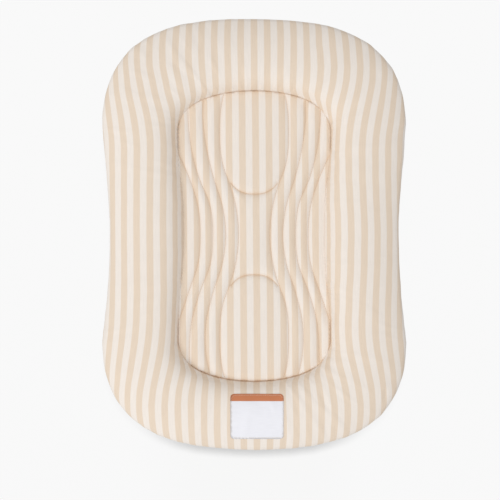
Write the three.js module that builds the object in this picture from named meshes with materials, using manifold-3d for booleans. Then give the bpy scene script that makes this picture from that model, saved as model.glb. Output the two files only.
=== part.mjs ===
// Infant lounger: a stuffed ring round a quilted pad, in a removable cover with a zip underneath.
// Millimetres. +X is to the right seen from above, +Y to the head end, +Z up.
// The lounger lies on Z = 0, and the middle of its outline is at X = 0, Y = 0.
import * as THREE from 'three';
import { mergeVertices } from 'three/addons/utils/BufferGeometryUtils.js';
import Module from 'manifold-3d';

const wasm = await Module();
wasm.setup();

// Outline of the cover seen from above
const cover = {
  headEnd: 368.5,
  headHalfWidth: 259.5,
  headWidestAt: 187,
  waistHalfWidth: 247,
  waistAt: 20,
  footHalfWidth: 260,
  footWidestAt: 186,
  footEnd: 368.5,
};
// How far each handle of the outline's curves runs towards the next corner
const coverHandleShares = {
  headEnd: 0.41, headCorner: 0.95, headFlank: 0.1, waistHead: 0.18,
  waistFoot: 0.62, footFlank: 0.14, footCorner: 0.95, footEnd: 0.41,
};

// Outline of the pad: the seam where the ring meets it
const pad = {
  headEnd: 246.8,
  headHalfWidth: 131.4,
  headWidestAt: 175.6,
  waistHalfWidth: 121.6,
  waistAt: 13,
  footHalfWidth: 130.8,
  footWidestAt: 179.6,
  footEnd: 252,
};
const padHandleShares = {
  headEnd: 0.3, headCorner: 0.87, headFlank: 0.54, waistHead: 0.53,
  waistFoot: 0.95, footFlank: 0.95, footCorner: 0.94, footEnd: 0.21,
};

// Heights
const crestHeight = 100;
const seamHeight = 63.5;
const shoulderHeight = 82;
const edgeHeight = 72;
const padCrown = 6;
const baseLift = 9;

// Section of the ring, across it
const wallLean = 2;
const wallKneeShare = 0.75;
const wallRound = 18;
const crestShare = 0.42;
const crestRound = 36;
const shoulderIn = 5;
const shoulderRun = 13;
const shoulderDrop = 12;
const edgeRound = 4;
const sideRound = 38;
const sideTuck = 8;
const floorIn = 34;
const baseSeamShare = 0.62;
const recessStart = 34;
const recessEnd = 10;

// Cloth, and the clearance between layers that lie on each other
const clearance = 0.3;
const overrun = 5;
const coverCloth = 1.6;
const linerCloth = 0.8;
const quiltBacking = 4;
const quiltWadding = 8;
const sheetStepShare = 0.006;
const middleLineShare = 0.8;

// Contour lines of the quilting
const creaseDepth = 3.4;
const crownFade = 14;
const contourStationShares = [1, 0.8, 0.6, 0.4, 0.2, 0, -0.2, -0.4, -0.6, -0.8, -1];
const outerLineShares = [1.6, 1.36, 1.12, 0.926, 0.796, 0.76, 0.794, 0.929, 1.07, 1.25, 1.5];
const middleLineShares = [0.93, 0.932, 0.891, 0.786, 0.624, 0.583, 0.62, 0.77, 0.882, 0.915, 0.905];
const innerLineShares = [0.71, 0.724, 0.675, 0.579, 0.452, 0.402, 0.451, 0.582, 0.678, 0.684, 0.61];
const neckHalfWidth = 26.9;
const neckJoin = 97;
const neckJoinHalfWidth = 48;
const ovalHalfWidth = 59;
const ovalHalfLength = 108;
const ovalCentre = 177;
const ovalPowerShare = 2.5;
const tipRow = 5;

// Patch sewn on the foot end
const patchWidth = 90;
const patchLength = 77;
const patchThickness = 0.6;
const patchCentreX = 4.5;
const patchFromFoot = 20.8;
const patchCorner = 4;

// Zip in the base
const zipLength = 420;
const tapeWidth = 11;
const tapeThickness = 0.8;
const tapeTail = 12;
const toothPitch = 5;
const toothWidthShare = 0.52;
const toothRootShare = 0.72;
const toothLength = 1;
const rowBarWidth = 1.8;
const rowThickness = 2.2;
const postWidth = 0.8;
const rowPlay = 0.39;
const stopLength = 2.5;
const sliderLength = 13;
const flangeWidth = 1;
const outerWingThickness = 1.5;
const innerWingThickness = 1.2;
const sliderNose = 2.6;
const postLengthShare = 0.3;
const crownBridgeLength = 10;
const crownBridgeWidth = 2;
const crownBridgeThickness = 1.4;
const pullBarRadius = 0.6;
const pullLength = 28;
const pullArmWidth = 2;
const pullSwingRoom = 0.9;
const pullTabWidth = 8;
const pullHoleRadius = 1.6;

// Facets
const endSteps = 9;
const flankSteps = 5;
const arcSteps = 8;
const patchSamples = 24;
const patchRows = 9;
const patchColumns = 4;

// Places worked out from the sizes above
const postGap = postWidth + 2 * clearance;
const tapeHeight = baseLift + coverCloth + clearance;
const zipHeight = tapeHeight + tapeThickness / 2;
const rowInner = postGap / 2;
const rowOuter = rowInner + toothLength + rowBarWidth;
const tapeInner = rowOuter + clearance;
const flangeInner = rowOuter + rowPlay;
const sliderHalfWidth = flangeInner + flangeWidth;
const slotHalf = sliderHalfWidth + 2 * clearance;
const outerWingTop = zipHeight - rowThickness / 2 - clearance;
const outerWingBottom = outerWingTop - outerWingThickness;
const innerWingBottom = zipHeight + rowThickness / 2 + clearance;
const innerWingTop = innerWingBottom + innerWingThickness;
const insertLift = innerWingTop + clearance;
const insertTop = seamHeight - quiltBacking - clearance - quiltWadding - clearance;

function point(x, y, z) {
  return new THREE.Vector3(x, y, z);
}

function curve2(a, b, c, d) {
  return new THREE.CubicBezierCurve(
    new THREE.Vector2(...a), new THREE.Vector2(...b), new THREE.Vector2(...c), new THREE.Vector2(...d));
}

// Right half of an outline, from the middle of the head end to the middle of the foot end
function halfOutline(o, shares, inset) {
  const head = o.headEnd - inset;
  const foot = -o.footEnd + inset;
  const headX = o.headHalfWidth - inset;
  const waistX = o.waistHalfWidth - inset;
  const footX = o.footHalfWidth - inset;
  const headY = o.headWidestAt;
  const footY = -o.footWidestAt;
  const curves = [
    curve2([0, head], [headX * shares.headEnd, head],
      [headX, headY + (head - headY) * shares.headCorner], [headX, headY]),
    curve2([headX, headY], [headX, headY - (headY - o.waistAt) * shares.headFlank],
      [waistX, o.waistAt + (headY - o.waistAt) * shares.waistHead], [waistX, o.waistAt]),
    curve2([waistX, o.waistAt], [waistX, o.waistAt - (o.waistAt - footY) * shares.waistFoot],
      [footX, footY + (o.waistAt - footY) * shares.footFlank], [footX, footY]),
    curve2([footX, footY], [footX, footY - (footY - foot) * shares.footCorner],
      [footX * shares.footEnd, foot], [0, foot]),
  ];
  const steps = [endSteps, flankSteps, flankSteps, endSteps];
  const points = [curves[0].getPoint(0)];
  curves.forEach((curve, k) => {
    for (let i = 1; i <= steps[k]; i += 1) points.push(curve.getPoint(i / steps[k]));
  });
  points[0].x = 0;
  points[points.length - 1].x = 0;
  return points;
}

// The whole outline as one loop: down the right side, then up the left
function outline(half) {
  const left = half.slice(1, -1).reverse().map((p) => new THREE.Vector2(-p.x, p.y));
  return half.concat(left);
}

const seamHalf = halfOutline(pad, padHandleShares, 0);
const edgeHalf = halfOutline(cover, coverHandleShares, 0);
const seamLoop = outline(seamHalf);
const edgeLoop = outline(edgeHalf);

// A ray across the ring for each point of the seam: start, direction and width
const rays = seamLoop.map((start, i) => {
  const across = edgeLoop[i].clone().sub(start);
  return { start, width: across.length(), direction: across.clone().normalize() };
});

function onRay(ray, s, z) {
  return point(ray.start.x + ray.direction.x * s, ray.start.y + ray.direction.y * s, z);
}

// The ring's section: S runs outwards from the pad seam, Z is up
function sectionCurves(width) {
  const crest = width * crestShare;
  const shoulder = width - shoulderIn;
  const knee = seamHeight + (crestHeight - seamHeight) * wallKneeShare;
  return {
    wall: curve2([0, seamHeight], [wallLean, knee], [wallRound, crestHeight], [crest, crestHeight]),
    top: curve2([crest, crestHeight], [crest + crestRound, crestHeight],
      [shoulder - shoulderRun, shoulderHeight + shoulderDrop], [shoulder, shoulderHeight]),
    edge: curve2([shoulder, shoulderHeight], [width - shoulderIn / 2, shoulderHeight - shoulderIn / 2],
      [width, edgeHeight + edgeRound], [width, edgeHeight]),
    side: curve2([width, edgeHeight], [width, edgeHeight - sideRound],
      [width - sideTuck, 0], [width - floorIn, 0]),
  };
}

const fineStops = [
  ['wall', 0], ['wall', 0.2], ['wall', 0.4], ['wall', 0.65], ['top', 0],
  ['top', 0.4], ['top', 0.75], ['top', 1], ['edge', 1], ['side', 0.25], ['side', 0.45],
  ['side', baseSeamShare],
];
const coarseStops = [
  ['wall', 0], ['wall', 0.25], ['wall', 0.6], ['top', 0.3], ['top', 0.8], ['edge', 1],
  ['side', 0.35], ['side', baseSeamShare],
];
const baseStops = [['side', baseSeamShare + sheetStepShare], ['side', 0.8], ['side', 1]];

// A point of the section, moved into the ring by inset
function sectionPoint(ray, stop, inset) {
  const curve = sectionCurves(ray.width)[stop[0]];
  const at = curve.getPoint(stop[1]);
  const along = curve.getTangent(stop[1]);
  return onRay(ray, at.x + along.y * inset, at.y - along.x * inset);
}

// One loop of points round the lounger for each stop
function sectionLoops(stops, inset) {
  return stops.map((stop) => rays.map((ray) => sectionPoint(ray, stop, inset)));
}

function seamLoops(s, z) {
  return rays.map((ray) => onRay(ray, s, z));
}

// A loop drawn in to the middle line, which closes a sheet there
function middleLoop(z) {
  const head = seamHalf[1].y;
  const foot = seamHalf[seamHalf.length - 2].y;
  return rays.map((ray) => point(0, Math.max(foot, Math.min(head, ray.start.y)) * middleLineShare, z));
}

// Adds a triangle, unless two of its corners fall together
function addFace(positions, a, b, c) {
  const area = b.clone().sub(a).cross(c.clone().sub(a)).length();
  if (area > 0) positions.push(...a.toArray(), ...b.toArray(), ...c.toArray());
}

// Adds four corners as two triangles, cut along the shorter diagonal, so that layers that
// lie on each other are faceted alike
function addQuad(positions, a, b, c, d) {
  if (a.distanceTo(c) <= b.distanceTo(d)) {
    addFace(positions, a, b, c);
    addFace(positions, a, c, d);
  } else {
    addFace(positions, a, b, d);
    addFace(positions, b, c, d);
  }
}

// Closed body through loops of equal count; a body with a hole in the middle joins last to first
function loft(loops, joined) {
  const positions = [];
  const count = loops[0].length;
  const last = joined ? loops.length : loops.length - 1;
  for (let j = 0; j < last; j += 1) {
    const here = loops[j];
    const next = loops[(j + 1) % loops.length];
    for (let i = 0; i < count; i += 1) {
      const k = (i + 1) % count;
      addQuad(positions, here[i], here[k], next[k], next[i]);
    }
  }
  return facingOut(positions);
}

// Geometry from loose triangles, turned so that its faces point out
function facingOut(positions) {
  let volume = 0;
  const corner = (n) => new THREE.Vector3().fromArray(positions, n);
  for (let n = 0; n < positions.length; n += 9) {
    volume += corner(n).dot(corner(n + 3).cross(corner(n + 6)));
  }
  const ordered = positions.slice();
  if (volume < 0) {
    for (let n = 0; n < ordered.length; n += 9) {
      for (let k = 0; k < 3; k += 1) {
        [ordered[n + 3 + k], ordered[n + 6 + k]] = [ordered[n + 6 + k], ordered[n + 3 + k]];
      }
    }
  }
  const geometry = new THREE.BufferGeometry();
  geometry.setAttribute('position', new THREE.Float32BufferAttribute(ordered, 3));
  return mergeVertices(geometry);
}

function toManifold(geometry) {
  const bare = geometry.clone();
  bare.deleteAttribute('normal');
  bare.deleteAttribute('uv');
  const merged = mergeVertices(bare);
  return new wasm.Manifold(new wasm.Mesh({
    numProp: 3,
    vertProperties: new Float32Array(merged.attributes.position.array),
    triVerts: new Uint32Array(merged.index.array),
  }));
}

function fromManifold(solid) {
  const mesh = solid.getMesh();
  const geometry = new THREE.BufferGeometry();
  geometry.setAttribute('position', new THREE.BufferAttribute(new Float32Array(mesh.vertProperties), 3));
  geometry.setIndex(new THREE.BufferAttribute(new Uint32Array(mesh.triVerts), 1));
  return geometry;
}

function box(low, high) {
  const size = high.map((v, i) => v - low[i]);
  const geometry = new THREE.BoxGeometry(...size);
  geometry.translate(...low.map((v, i) => v + size[i] / 2));
  return geometry;
}

// Plate with an outline in X and Y, from one height to another
function plate(shape, low, high) {
  const geometry = new THREE.ExtrudeGeometry(shape, {
    depth: high - low, bevelEnabled: false, curveSegments: arcSteps,
  });
  geometry.translate(0, 0, low);
  return geometry;
}

// Profile in X and Z, run along Y
function alongY(shape, from, to) {
  const geometry = new THREE.ExtrudeGeometry(shape, {
    depth: to - from, bevelEnabled: false, curveSegments: arcSteps,
  });
  geometry.rotateX(Math.PI / 2);
  geometry.translate(0, to, 0);
  return geometry;
}

const finishes = {
  stripedCotton: new THREE.MeshStandardMaterial({ color: '#ecdfcd', roughness: 0.9, metalness: 0 }),
  plainCotton: new THREE.MeshStandardMaterial({ color: '#f2ece2', roughness: 0.9, metalness: 0 }),
  muslin: new THREE.MeshStandardMaterial({ color: '#f6f3ec', roughness: 0.95, metalness: 0 }),
  fibre: new THREE.MeshStandardMaterial({ color: '#fbfbf8', roughness: 1, metalness: 0 }),
  foam: new THREE.MeshStandardMaterial({ color: '#f1e9c8', roughness: 1, metalness: 0 }),
  patchCloth: new THREE.MeshStandardMaterial({ color: '#eeeef4', roughness: 0.7, metalness: 0 }),
  zipTape: new THREE.MeshStandardMaterial({ color: '#efe6d8', roughness: 0.8, metalness: 0 }),
  zipNylon: new THREE.MeshStandardMaterial({ color: '#e7dccb', roughness: 0.4, metalness: 0 }),
  zipMetal: new THREE.MeshStandardMaterial({ color: '#b9b6ae', roughness: 0.35, metalness: 1 }),
};

const lounger = new THREE.Group();

function addPart(name, geometry, material) {
  const mesh = new THREE.Mesh(geometry, material);
  mesh.name = name;
  lounger.add(mesh);
  return mesh;
}

// Ring of the cover: a cloth shell from the pad seam, over the crest, to the lower edge
function bolsterPanel() {
  const outside = sectionLoops(fineStops, 0);
  const inside = sectionLoops(coarseStops, coverCloth);
  return loft(outside.concat(inside.reverse()), true);
}

// Half width of a superellipse drawn at one height of the pad
function ovalHalf(y, centre) {
  const t = Math.abs(y - centre) / ovalHalfLength;
  return t >= 1 ? 0 : ovalHalfWidth * (1 - t ** ovalPowerShare) ** (1 / ovalPowerShare);
}

function interpolate(places, values, at) {
  let k = 0;
  while (k < places.length - 2 && at < places[k + 1]) k += 1;
  const take = (n) => values[Math.max(0, Math.min(values.length - 1, n))];
  const t = (places[k] - at) / (places[k] - places[k + 1]);
  const slopeStart = (take(k + 1) - take(k - 1)) / 2;
  const slopeEnd = (take(k + 2) - take(k)) / 2;
  const gone = t * t * (3 - 2 * t);
  return values[k] * (1 - gone) + values[k + 1] * gone
    + slopeStart * t * (1 - t) ** 2 - slopeEnd * t * t * (1 - t);
}

// Offsets of the sewn lines from the middle of the pad at one height, innermost first
function contourOffsets(y, seamX) {
  const middle = (pad.headEnd + pad.footEnd) / 2;
  const stations = contourStationShares.map((share) => share * middle);
  const lines = [innerLineShares, middleLineShares, outerLineShares].map(
    (shares) => interpolate(stations, shares, y) * pad.waistHalfWidth);
  const oval = Math.max(ovalHalf(y, ovalCentre), ovalHalf(y, -ovalCentre));
  const neck = neckHalfWidth + (neckJoinHalfWidth - neckHalfWidth) * (y / neckJoin) ** 2;
  const inner = Math.abs(y) < neckJoin ? Math.max(oval, neck) : oval;
  const offsets = [0, oval, inner, ...lines, seamX];
  return offsets.map((x, n) => Math.min(Math.max(x, offsets[Math.max(0, n - 1)]), seamX));
}

// Height of the pad's crown: it swells from the seam and is flat in the middle
function crownHeight(x, y, seamX) {
  const side = Math.max(0, seamX - Math.abs(x));
  const end = Math.max(0, Math.min(pad.headEnd - y, y + pad.footEnd));
  const swell = (distance) => 1 - Math.exp(-distance / crownFade);
  return seamHeight + padCrown * swell(side) * swell(end);
}

// Rows of the centre panel's grid: one at each corner of its outline, and more where the lines bend
function panelRows() {
  const rim = halfOutline(pad, padHandleShares, clearance);
  const rows = rim.map((p) => ({ x: p.x, y: p.y }));
  const flank = rim.slice(endSteps, endSteps + 2 * flankSteps + 1);
  const between = flank.slice(1).map((p, i) => (p.y + flank[i].y) / 2);
  const tip = ovalCentre - ovalHalfLength;
  const tips = [tip, tip + tipRow, tip + 2 * tipRow, -tip, -tip - tipRow, -tip - 2 * tipRow];
  between.concat(tips).forEach((y) => {
    const next = rows.findIndex((row) => row.y < y);
    const above = rows[next - 1];
    const below = rows[next];
    const t = (above.y - y) / (above.y - below.y);
    rows.splice(next, 0, { x: above.x + (below.x - above.x) * t, y });
  });
  return rows;
}

// One row of the centre panel: a point on each line and one between, from the left rim to the right
function panelRow(row) {
  if (row.x === 0) return [point(0, row.y, seamHeight)];
  const lines = contourOffsets(row.y, row.x);
  const half = [];
  lines.forEach((x, n) => {
    const sewn = crownHeight(x, row.y, row.x) - (x === 0 ? 0 : creaseDepth);
    half.push(point(x, row.y, x === row.x ? seamHeight : Math.max(seamHeight - creaseDepth / 2, sewn)));
    if (n === lines.length - 1) return;
    const middle = (x + lines[n + 1]) / 2;
    const narrow = Math.max(0, 1 - (lines[n + 1] - x) / (2 * crownFade));
    const full = crownHeight(middle, row.y, row.x) - creaseDepth * narrow;
    half.push(point(middle, row.y, middle === x ? half[half.length - 1].z : full));
  });
  const left = half.slice(1).reverse().map((p) => point(-p.x, p.y, p.z));
  return left.concat(half);
}

// Centre panel of the cover: crowned, with a crease along each sewn line
function centrePanel() {
  const grid = panelRows().map(panelRow);
  const positions = [];
  const wide = grid[1].length;
  const at = (row, i) => row[Math.min(i, row.length - 1)];
  for (let j = 0; j < grid.length - 1; j += 1) {
    for (let i = 0; i < wide - 1; i += 1) {
      addQuad(positions, at(grid[j], i), at(grid[j + 1], i), at(grid[j + 1], i + 1), at(grid[j], i + 1));
    }
  }
  const lowered = (p) => point(p.x, p.y, seamHeight - quiltBacking);
  for (let j = 0; j < grid.length - 1; j += 1) {
    const [left, right] = [grid[j][0], grid[j][grid[j].length - 1]];
    const [nextLeft, nextRight] = [grid[j + 1][0], grid[j + 1][grid[j + 1].length - 1]];
    const loop = [left, right, lowered(right), lowered(left)];
    const next = [nextLeft, nextRight, lowered(nextRight), lowered(nextLeft)];
    for (let k = 1; k < loop.length; k += 1) {
      const n = (k + 1) % loop.length;
      addQuad(positions, loop[k], next[k], next[n], loop[n]);
    }
  }
  return facingOut(positions);
}

// Block that fills the pad's outline between two heights
function padBlock(s, low, high) {
  return loft([middleLoop(high), seamLoops(s, high), seamLoops(s, low), middleLoop(low)], false);
}

// How far the base is drawn up at a distance from the pad seam: 0 on the floor, 1 in the middle
function drawnUp(s) {
  const t = Math.min(1, Math.max(0, (recessStart - s) / (recessStart - recessEnd)));
  return t * t * (3 - 2 * t);
}

const recessPlaces = [recessStart, (2 * recessStart + recessEnd) / 3,
  (recessStart + 2 * recessEnd) / 3, recessEnd];

// Loops of one face of a base sheet, from its seam to the middle line
function baseFace(inset, lift) {
  const outer = sectionLoops(baseStops, inset);
  const raised = recessPlaces.map((s) => seamLoops(s, inset + (lift - inset) * drawnUp(s)));
  return outer.concat(raised, [middleLoop(lift)]);
}

function baseSheet(inset, lift, thickness) {
  const under = baseFace(inset, lift);
  const over = baseFace(inset + thickness, lift + thickness);
  return loft(under.reverse().concat(over), false);
}

// Base of the cover: cut along the middle, and cut back where the zip shows
function basePanels() {
  const slit = box([-clearance / 2, -cover.footEnd - overrun, -overrun],
    [clearance / 2, cover.headEnd + overrun, crestHeight]);
  const halfZip = zipLength / 2 + clearance;
  const slot = box([-slotHalf, -halfZip, -overrun], [slotHalf, halfZip, crestHeight]);
  const whole = toManifold(baseSheet(0, baseLift, coverCloth));
  return whole.subtract(toManifold(slit)).subtract(toManifold(slot)).decompose();
}

// Liner of the insert: over the pad, down the seam and over the ring
function linerTop() {
  const face = (inset, z) => [
    middleLoop(z), seamLoops(inset, z), ...sectionLoops(coarseStops, inset),
  ];
  const outer = coverCloth + clearance;
  const outside = face(outer, insertTop);
  const inside = face(outer + linerCloth, insertTop - linerCloth);
  return loft(outside.concat(inside.reverse()), false);
}

// Fibre of the ring: fills the liner down to its base
function bolsterFill() {
  const inset = coverCloth + linerCloth + 2 * clearance;
  const lift = insertLift + linerCloth + clearance;
  const under = baseFace(inset, lift).slice(0, -1);
  const over = sectionLoops(coarseStops, inset);
  return loft(over.concat(under, [seamLoops(inset, lift)]), true);
}

function innerWall() {
  const inside = coverCloth + clearance;
  const outside = inside + linerCloth;
  const low = insertLift + linerCloth + clearance;
  const high = insertTop - linerCloth - clearance;
  return loft([
    seamLoops(inside, low), seamLoops(inside, high), seamLoops(outside, high), seamLoops(outside, low),
  ], true);
}

// Y on an outline's foot end, at a distance from the middle
function footY(half, x) {
  const end = half.slice(-endSteps - 1);
  const k = Math.max(1, end.findIndex((p) => p.x <= Math.abs(x)));
  const t = (end[k - 1].x - Math.abs(x)) / (end[k - 1].x - end[k].x);
  return end[k - 1].y + (end[k].y - end[k - 1].y) * t;
}

// Height of the ring's surface over a point of its foot end
function footHeight(x, y) {
  const seamY = footY(seamHalf, x);
  const curves = sectionCurves(seamY - footY(edgeHalf, x));
  const s = seamY - y;
  const points = [curves.wall, curves.top, curves.edge].flatMap((curve) => curve.getPoints(patchSamples));
  const k = Math.max(1, points.findIndex((p) => p.x >= s));
  const t = (s - points[k - 1].x) / (points[k].x - points[k - 1].x);
  return points[k - 1].y + (points[k].y - points[k - 1].y) * t;
}

// Blank patch that follows the ring's surface at the foot end; its corners are cut off
function sewnPatch() {
  const low = -cover.footEnd + patchFromFoot;
  const stops = [0, patchCorner / patchLength];
  for (let j = 1; j < patchRows; j += 1) stops.push(j / patchRows);
  stops.push(1 - patchCorner / patchLength, 1);
  const loops = stops.map((t) => {
    const y = low + patchLength * t;
    const width = t === 0 || t === 1 ? patchWidth - 2 * patchCorner : patchWidth;
    const row = [];
    for (let i = 0; i <= patchColumns; i += 1) {
      const x = patchCentreX + (i / patchColumns - 0.5) * width;
      row.push(point(x, y, footHeight(x, y) + clearance));
    }
    const over = row.map((p) => point(p.x, p.y, p.z + patchThickness));
    return row.concat(over.reverse());
  });
  const flattened = (loop) => loop.map((p, i) => (i < loop.length / 2 ? p : loop[loop.length - 1 - i]));
  return loft([flattened(loops[0]), ...loops, flattened(loops[loops.length - 1])], false);
}

function zipTape(side) {
  const half = zipLength / 2 + tapeTail;
  const near = side * tapeInner;
  const far = side * (tapeInner + tapeWidth);
  return box([Math.min(near, far), -half, tapeHeight],
    [Math.max(near, far), half, tapeHeight + tapeThickness]);
}

// A row of teeth on its bar, as one toothed strip
function zipTeeth(side) {
  const length = zipLength - 2 * stopLength - 2 * clearance;
  const count = Math.floor(length / toothPitch);
  const start = -length / 2 + (length - (count - 1) * toothPitch) / 2;
  const root = rowInner + toothLength;
  const shape = new THREE.Shape();
  shape.moveTo(side * rowOuter, -length / 2);
  shape.lineTo(side * rowOuter, length / 2);
  shape.lineTo(side * root, length / 2);
  for (let i = count - 1; i >= 0; i -= 1) {
    const y = start + i * toothPitch;
    const tip = toothPitch * toothWidthShare / 2;
    const foot = toothPitch * toothRootShare / 2;
    shape.lineTo(side * root, y + foot);
    shape.lineTo(side * rowInner, y + tip);
    shape.lineTo(side * rowInner, y - tip);
    shape.lineTo(side * root, y - foot);
  }
  shape.lineTo(side * root, -length / 2);
  return plate(shape, zipHeight - rowThickness / 2, zipHeight + rowThickness / 2);
}

// Section of a stop in X and Z, on one side of the zip: a notch leaves room for the tape
function stopSection(side) {
  const outer = rowOuter + flangeWidth;
  const half = rowThickness / 2;
  const notch = tapeThickness / 2 + clearance;
  return [
    [outer, -half], [outer, -notch], [rowOuter, -notch],
    [rowOuter, notch], [outer, notch], [outer, half],
  ].map(([x, z]) => [side * x, zipHeight + z]);
}

function stopFrom(corners, from, to) {
  const shape = new THREE.Shape();
  corners.forEach(([x, z], n) => (n ? shape.lineTo(x, z) : shape.moveTo(x, z)));
  return alongY(shape, from, to);
}

// Stop clamped on the edge of one tape, where the slider rests when the zip is closed
function topStop(side) {
  const inner = side * rowInner;
  const corners = [
    [inner, zipHeight - rowThickness / 2], ...stopSection(side), [inner, zipHeight + rowThickness / 2],
  ];
  return stopFrom(corners, zipLength / 2 - stopLength, zipLength / 2);
}

// Stop clamped over both tapes, at the open end of the zip
function bottomStop() {
  const corners = [...stopSection(1), ...stopSection(-1).reverse()];
  return stopFrom(corners, -zipLength / 2, -zipLength / 2 + stopLength);
}

// Where the slider's middle is at rest, with the zip closed
const sliderAt = zipLength / 2 - stopLength - clearance - sliderLength / 2;

// Slider: two wings on a post, flanges that hold the rows in, and a bridge for the pull
function zipSlider() {
  const half = sliderLength / 2;
  const nose = sliderHalfWidth - sliderNose;
  const wing = new THREE.Shape();
  wing.moveTo(-nose, -half);
  wing.lineTo(nose, -half);
  wing.quadraticCurveTo(sliderHalfWidth, -half, sliderHalfWidth, -half + sliderNose);
  wing.lineTo(sliderHalfWidth, half - sliderNose);
  wing.quadraticCurveTo(sliderHalfWidth, half, nose, half);
  wing.lineTo(-nose, half);
  wing.quadraticCurveTo(-sliderHalfWidth, half, -sliderHalfWidth, half - sliderNose);
  wing.lineTo(-sliderHalfWidth, -half + sliderNose);
  wing.quadraticCurveTo(-sliderHalfWidth, -half, -nose, -half);
  const slot = tapeThickness / 2 + clearance;
  const flangeLength = half - sliderNose;
  const pieces = [
    plate(wing, outerWingBottom, outerWingTop),
    plate(wing, innerWingBottom, innerWingTop),
    box([-postWidth / 2, half * (1 - 2 * postLengthShare) - clearance, outerWingTop],
      [postWidth / 2, half - clearance, innerWingBottom]),
    bridge(),
  ];
  [-1, 1].forEach((side) => {
    const near = Math.min(side * flangeInner, side * sliderHalfWidth);
    const far = Math.max(side * flangeInner, side * sliderHalfWidth);
    pieces.push(box([near, -flangeLength, outerWingTop], [far, flangeLength, zipHeight - slot]));
    pieces.push(box([near, -flangeLength, zipHeight + slot], [far, flangeLength, innerWingBottom]));
  });
  const solid = pieces.map(toManifold).reduce((a, b) => a.add(b));
  const geometry = fromManifold(solid);
  geometry.translate(0, sliderAt, 0);
  return geometry;
}

const pullHeight = outerWingBottom - clearance - pullBarRadius;
const bridgeRoom = 2 * pullBarRadius + 2 * clearance;

// Arch under the outer wing, with the opening that the pull's bar turns in
function bridge() {
  const long = crownBridgeLength / 2;
  const inner = long - crownBridgeThickness;
  const top = outerWingBottom;
  const deep = bridgeRoom + crownBridgeThickness;
  const arch = new THREE.Shape();
  arch.moveTo(-long, top);
  arch.bezierCurveTo(-long, top - deep, -inner, top - deep, -inner / 2, top - deep);
  arch.lineTo(inner / 2, top - deep);
  arch.bezierCurveTo(inner, top - deep, long, top - deep, long, top);
  arch.lineTo(inner, top);
  arch.lineTo(inner, top - bridgeRoom / 2);
  arch.quadraticCurveTo(inner, top - bridgeRoom, inner - bridgeRoom / 2, top - bridgeRoom);
  arch.lineTo(-inner + bridgeRoom / 2, top - bridgeRoom);
  arch.quadraticCurveTo(-inner, top - bridgeRoom, -inner, top - bridgeRoom / 2);
  arch.lineTo(-inner, top);
  const geometry = new THREE.ExtrudeGeometry(arch, {
    depth: crownBridgeWidth, bevelEnabled: false, curveSegments: arcSteps / 2,
  });
  geometry.translate(0, 0, -crownBridgeWidth / 2);
  geometry.rotateX(Math.PI / 2);
  geometry.rotateZ(Math.PI / 2);
  return geometry;
}

// Pull: a bar through the bridge, an arm on each side of it and a flat tab with a hole
function zipPull() {
  const window = crownBridgeLength / 2 + pullSwingRoom;
  const armInner = crownBridgeWidth / 2 + clearance;
  const armOuter = armInner + pullArmWidth;
  const tab = new THREE.Shape();
  const half = pullTabWidth / 2;
  tab.moveTo(-armOuter, 0);
  tab.lineTo(-armOuter, -window);
  tab.quadraticCurveTo(-half, -window - half / 2, -half, -window - half);
  tab.lineTo(-half, -pullLength + half);
  tab.absarc(0, -pullLength + half, half, Math.PI, 2 * Math.PI, false);
  tab.lineTo(half, -window - half);
  tab.quadraticCurveTo(half, -window - half / 2, armOuter, -window);
  tab.lineTo(armOuter, 0);
  tab.lineTo(armInner, 0);
  tab.lineTo(armInner, -window);
  tab.lineTo(-armInner, -window);
  tab.lineTo(-armInner, 0);
  const hole = new THREE.Path();
  hole.absarc(0, -pullLength + half, pullHoleRadius, 0, 2 * Math.PI, true);
  tab.holes.push(hole);
  const bar = new THREE.CylinderGeometry(pullBarRadius, pullBarRadius, 2 * armOuter, arcSteps);
  bar.rotateZ(Math.PI / 2);
  const solid = toManifold(plate(tab, -pullBarRadius, pullBarRadius)).add(toManifold(bar));
  const geometry = fromManifold(solid);
  geometry.translate(0, sliderAt, pullHeight);
  return geometry;
}

addPart('cover_bolster_panel', bolsterPanel(), finishes.stripedCotton);
addPart('cover_centre_panel', centrePanel(), finishes.stripedCotton);
addPart('quilt_wadding', padBlock(-clearance, insertTop + clearance, seamHeight - quiltBacking - clearance),
  finishes.fibre);
addPart('sewn_patch', sewnPatch(), finishes.patchCloth);
basePanels().forEach((solid) => {
  const side = solid.boundingBox().max[0] < 0 ? 'left' : 'right';
  addPart(`cover_base_${side}`, fromManifold(solid), finishes.plainCotton);
});
addPart('insert_liner_top', linerTop(), finishes.muslin);
addPart('insert_liner_base', baseSheet(coverCloth + clearance, insertLift, linerCloth), finishes.muslin);
addPart('insert_inner_wall', innerWall(), finishes.muslin);
addPart('bolster_fill', bolsterFill(), finishes.fibre);
addPart('pad_foam', padBlock(coverCloth, insertLift + linerCloth + clearance,
  insertTop - linerCloth - clearance), finishes.foam);
addPart('zip_tape_left', zipTape(-1), finishes.zipTape);
addPart('zip_tape_right', zipTape(1), finishes.zipTape);
addPart('zip_teeth_left', zipTeeth(-1), finishes.zipNylon);
addPart('zip_teeth_right', zipTeeth(1), finishes.zipNylon);
addPart('zip_stop_top_left', topStop(-1), finishes.zipMetal);
addPart('zip_stop_top_right', topStop(1), finishes.zipMetal);
addPart('zip_stop_bottom', bottomStop(), finishes.zipMetal);
addPart('zip_slider', zipSlider(), finishes.zipMetal);
addPart('zip_pull', zipPull(), finishes.zipMetal);

export default lounger;
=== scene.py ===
# Infant lounger: a stuffed ring round a quilted pad, in a striped cotton cover with a zip underneath.
# Sizes are in millimetres and become metres where a mesh is made. +X is right, +Y the head end, +Z up.
import math
import bpy
import numpy as np
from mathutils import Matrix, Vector, noise
from mathutils.bvhtree import BVHTree
from mathutils.geometry import delaunay_2d_cdt


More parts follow.
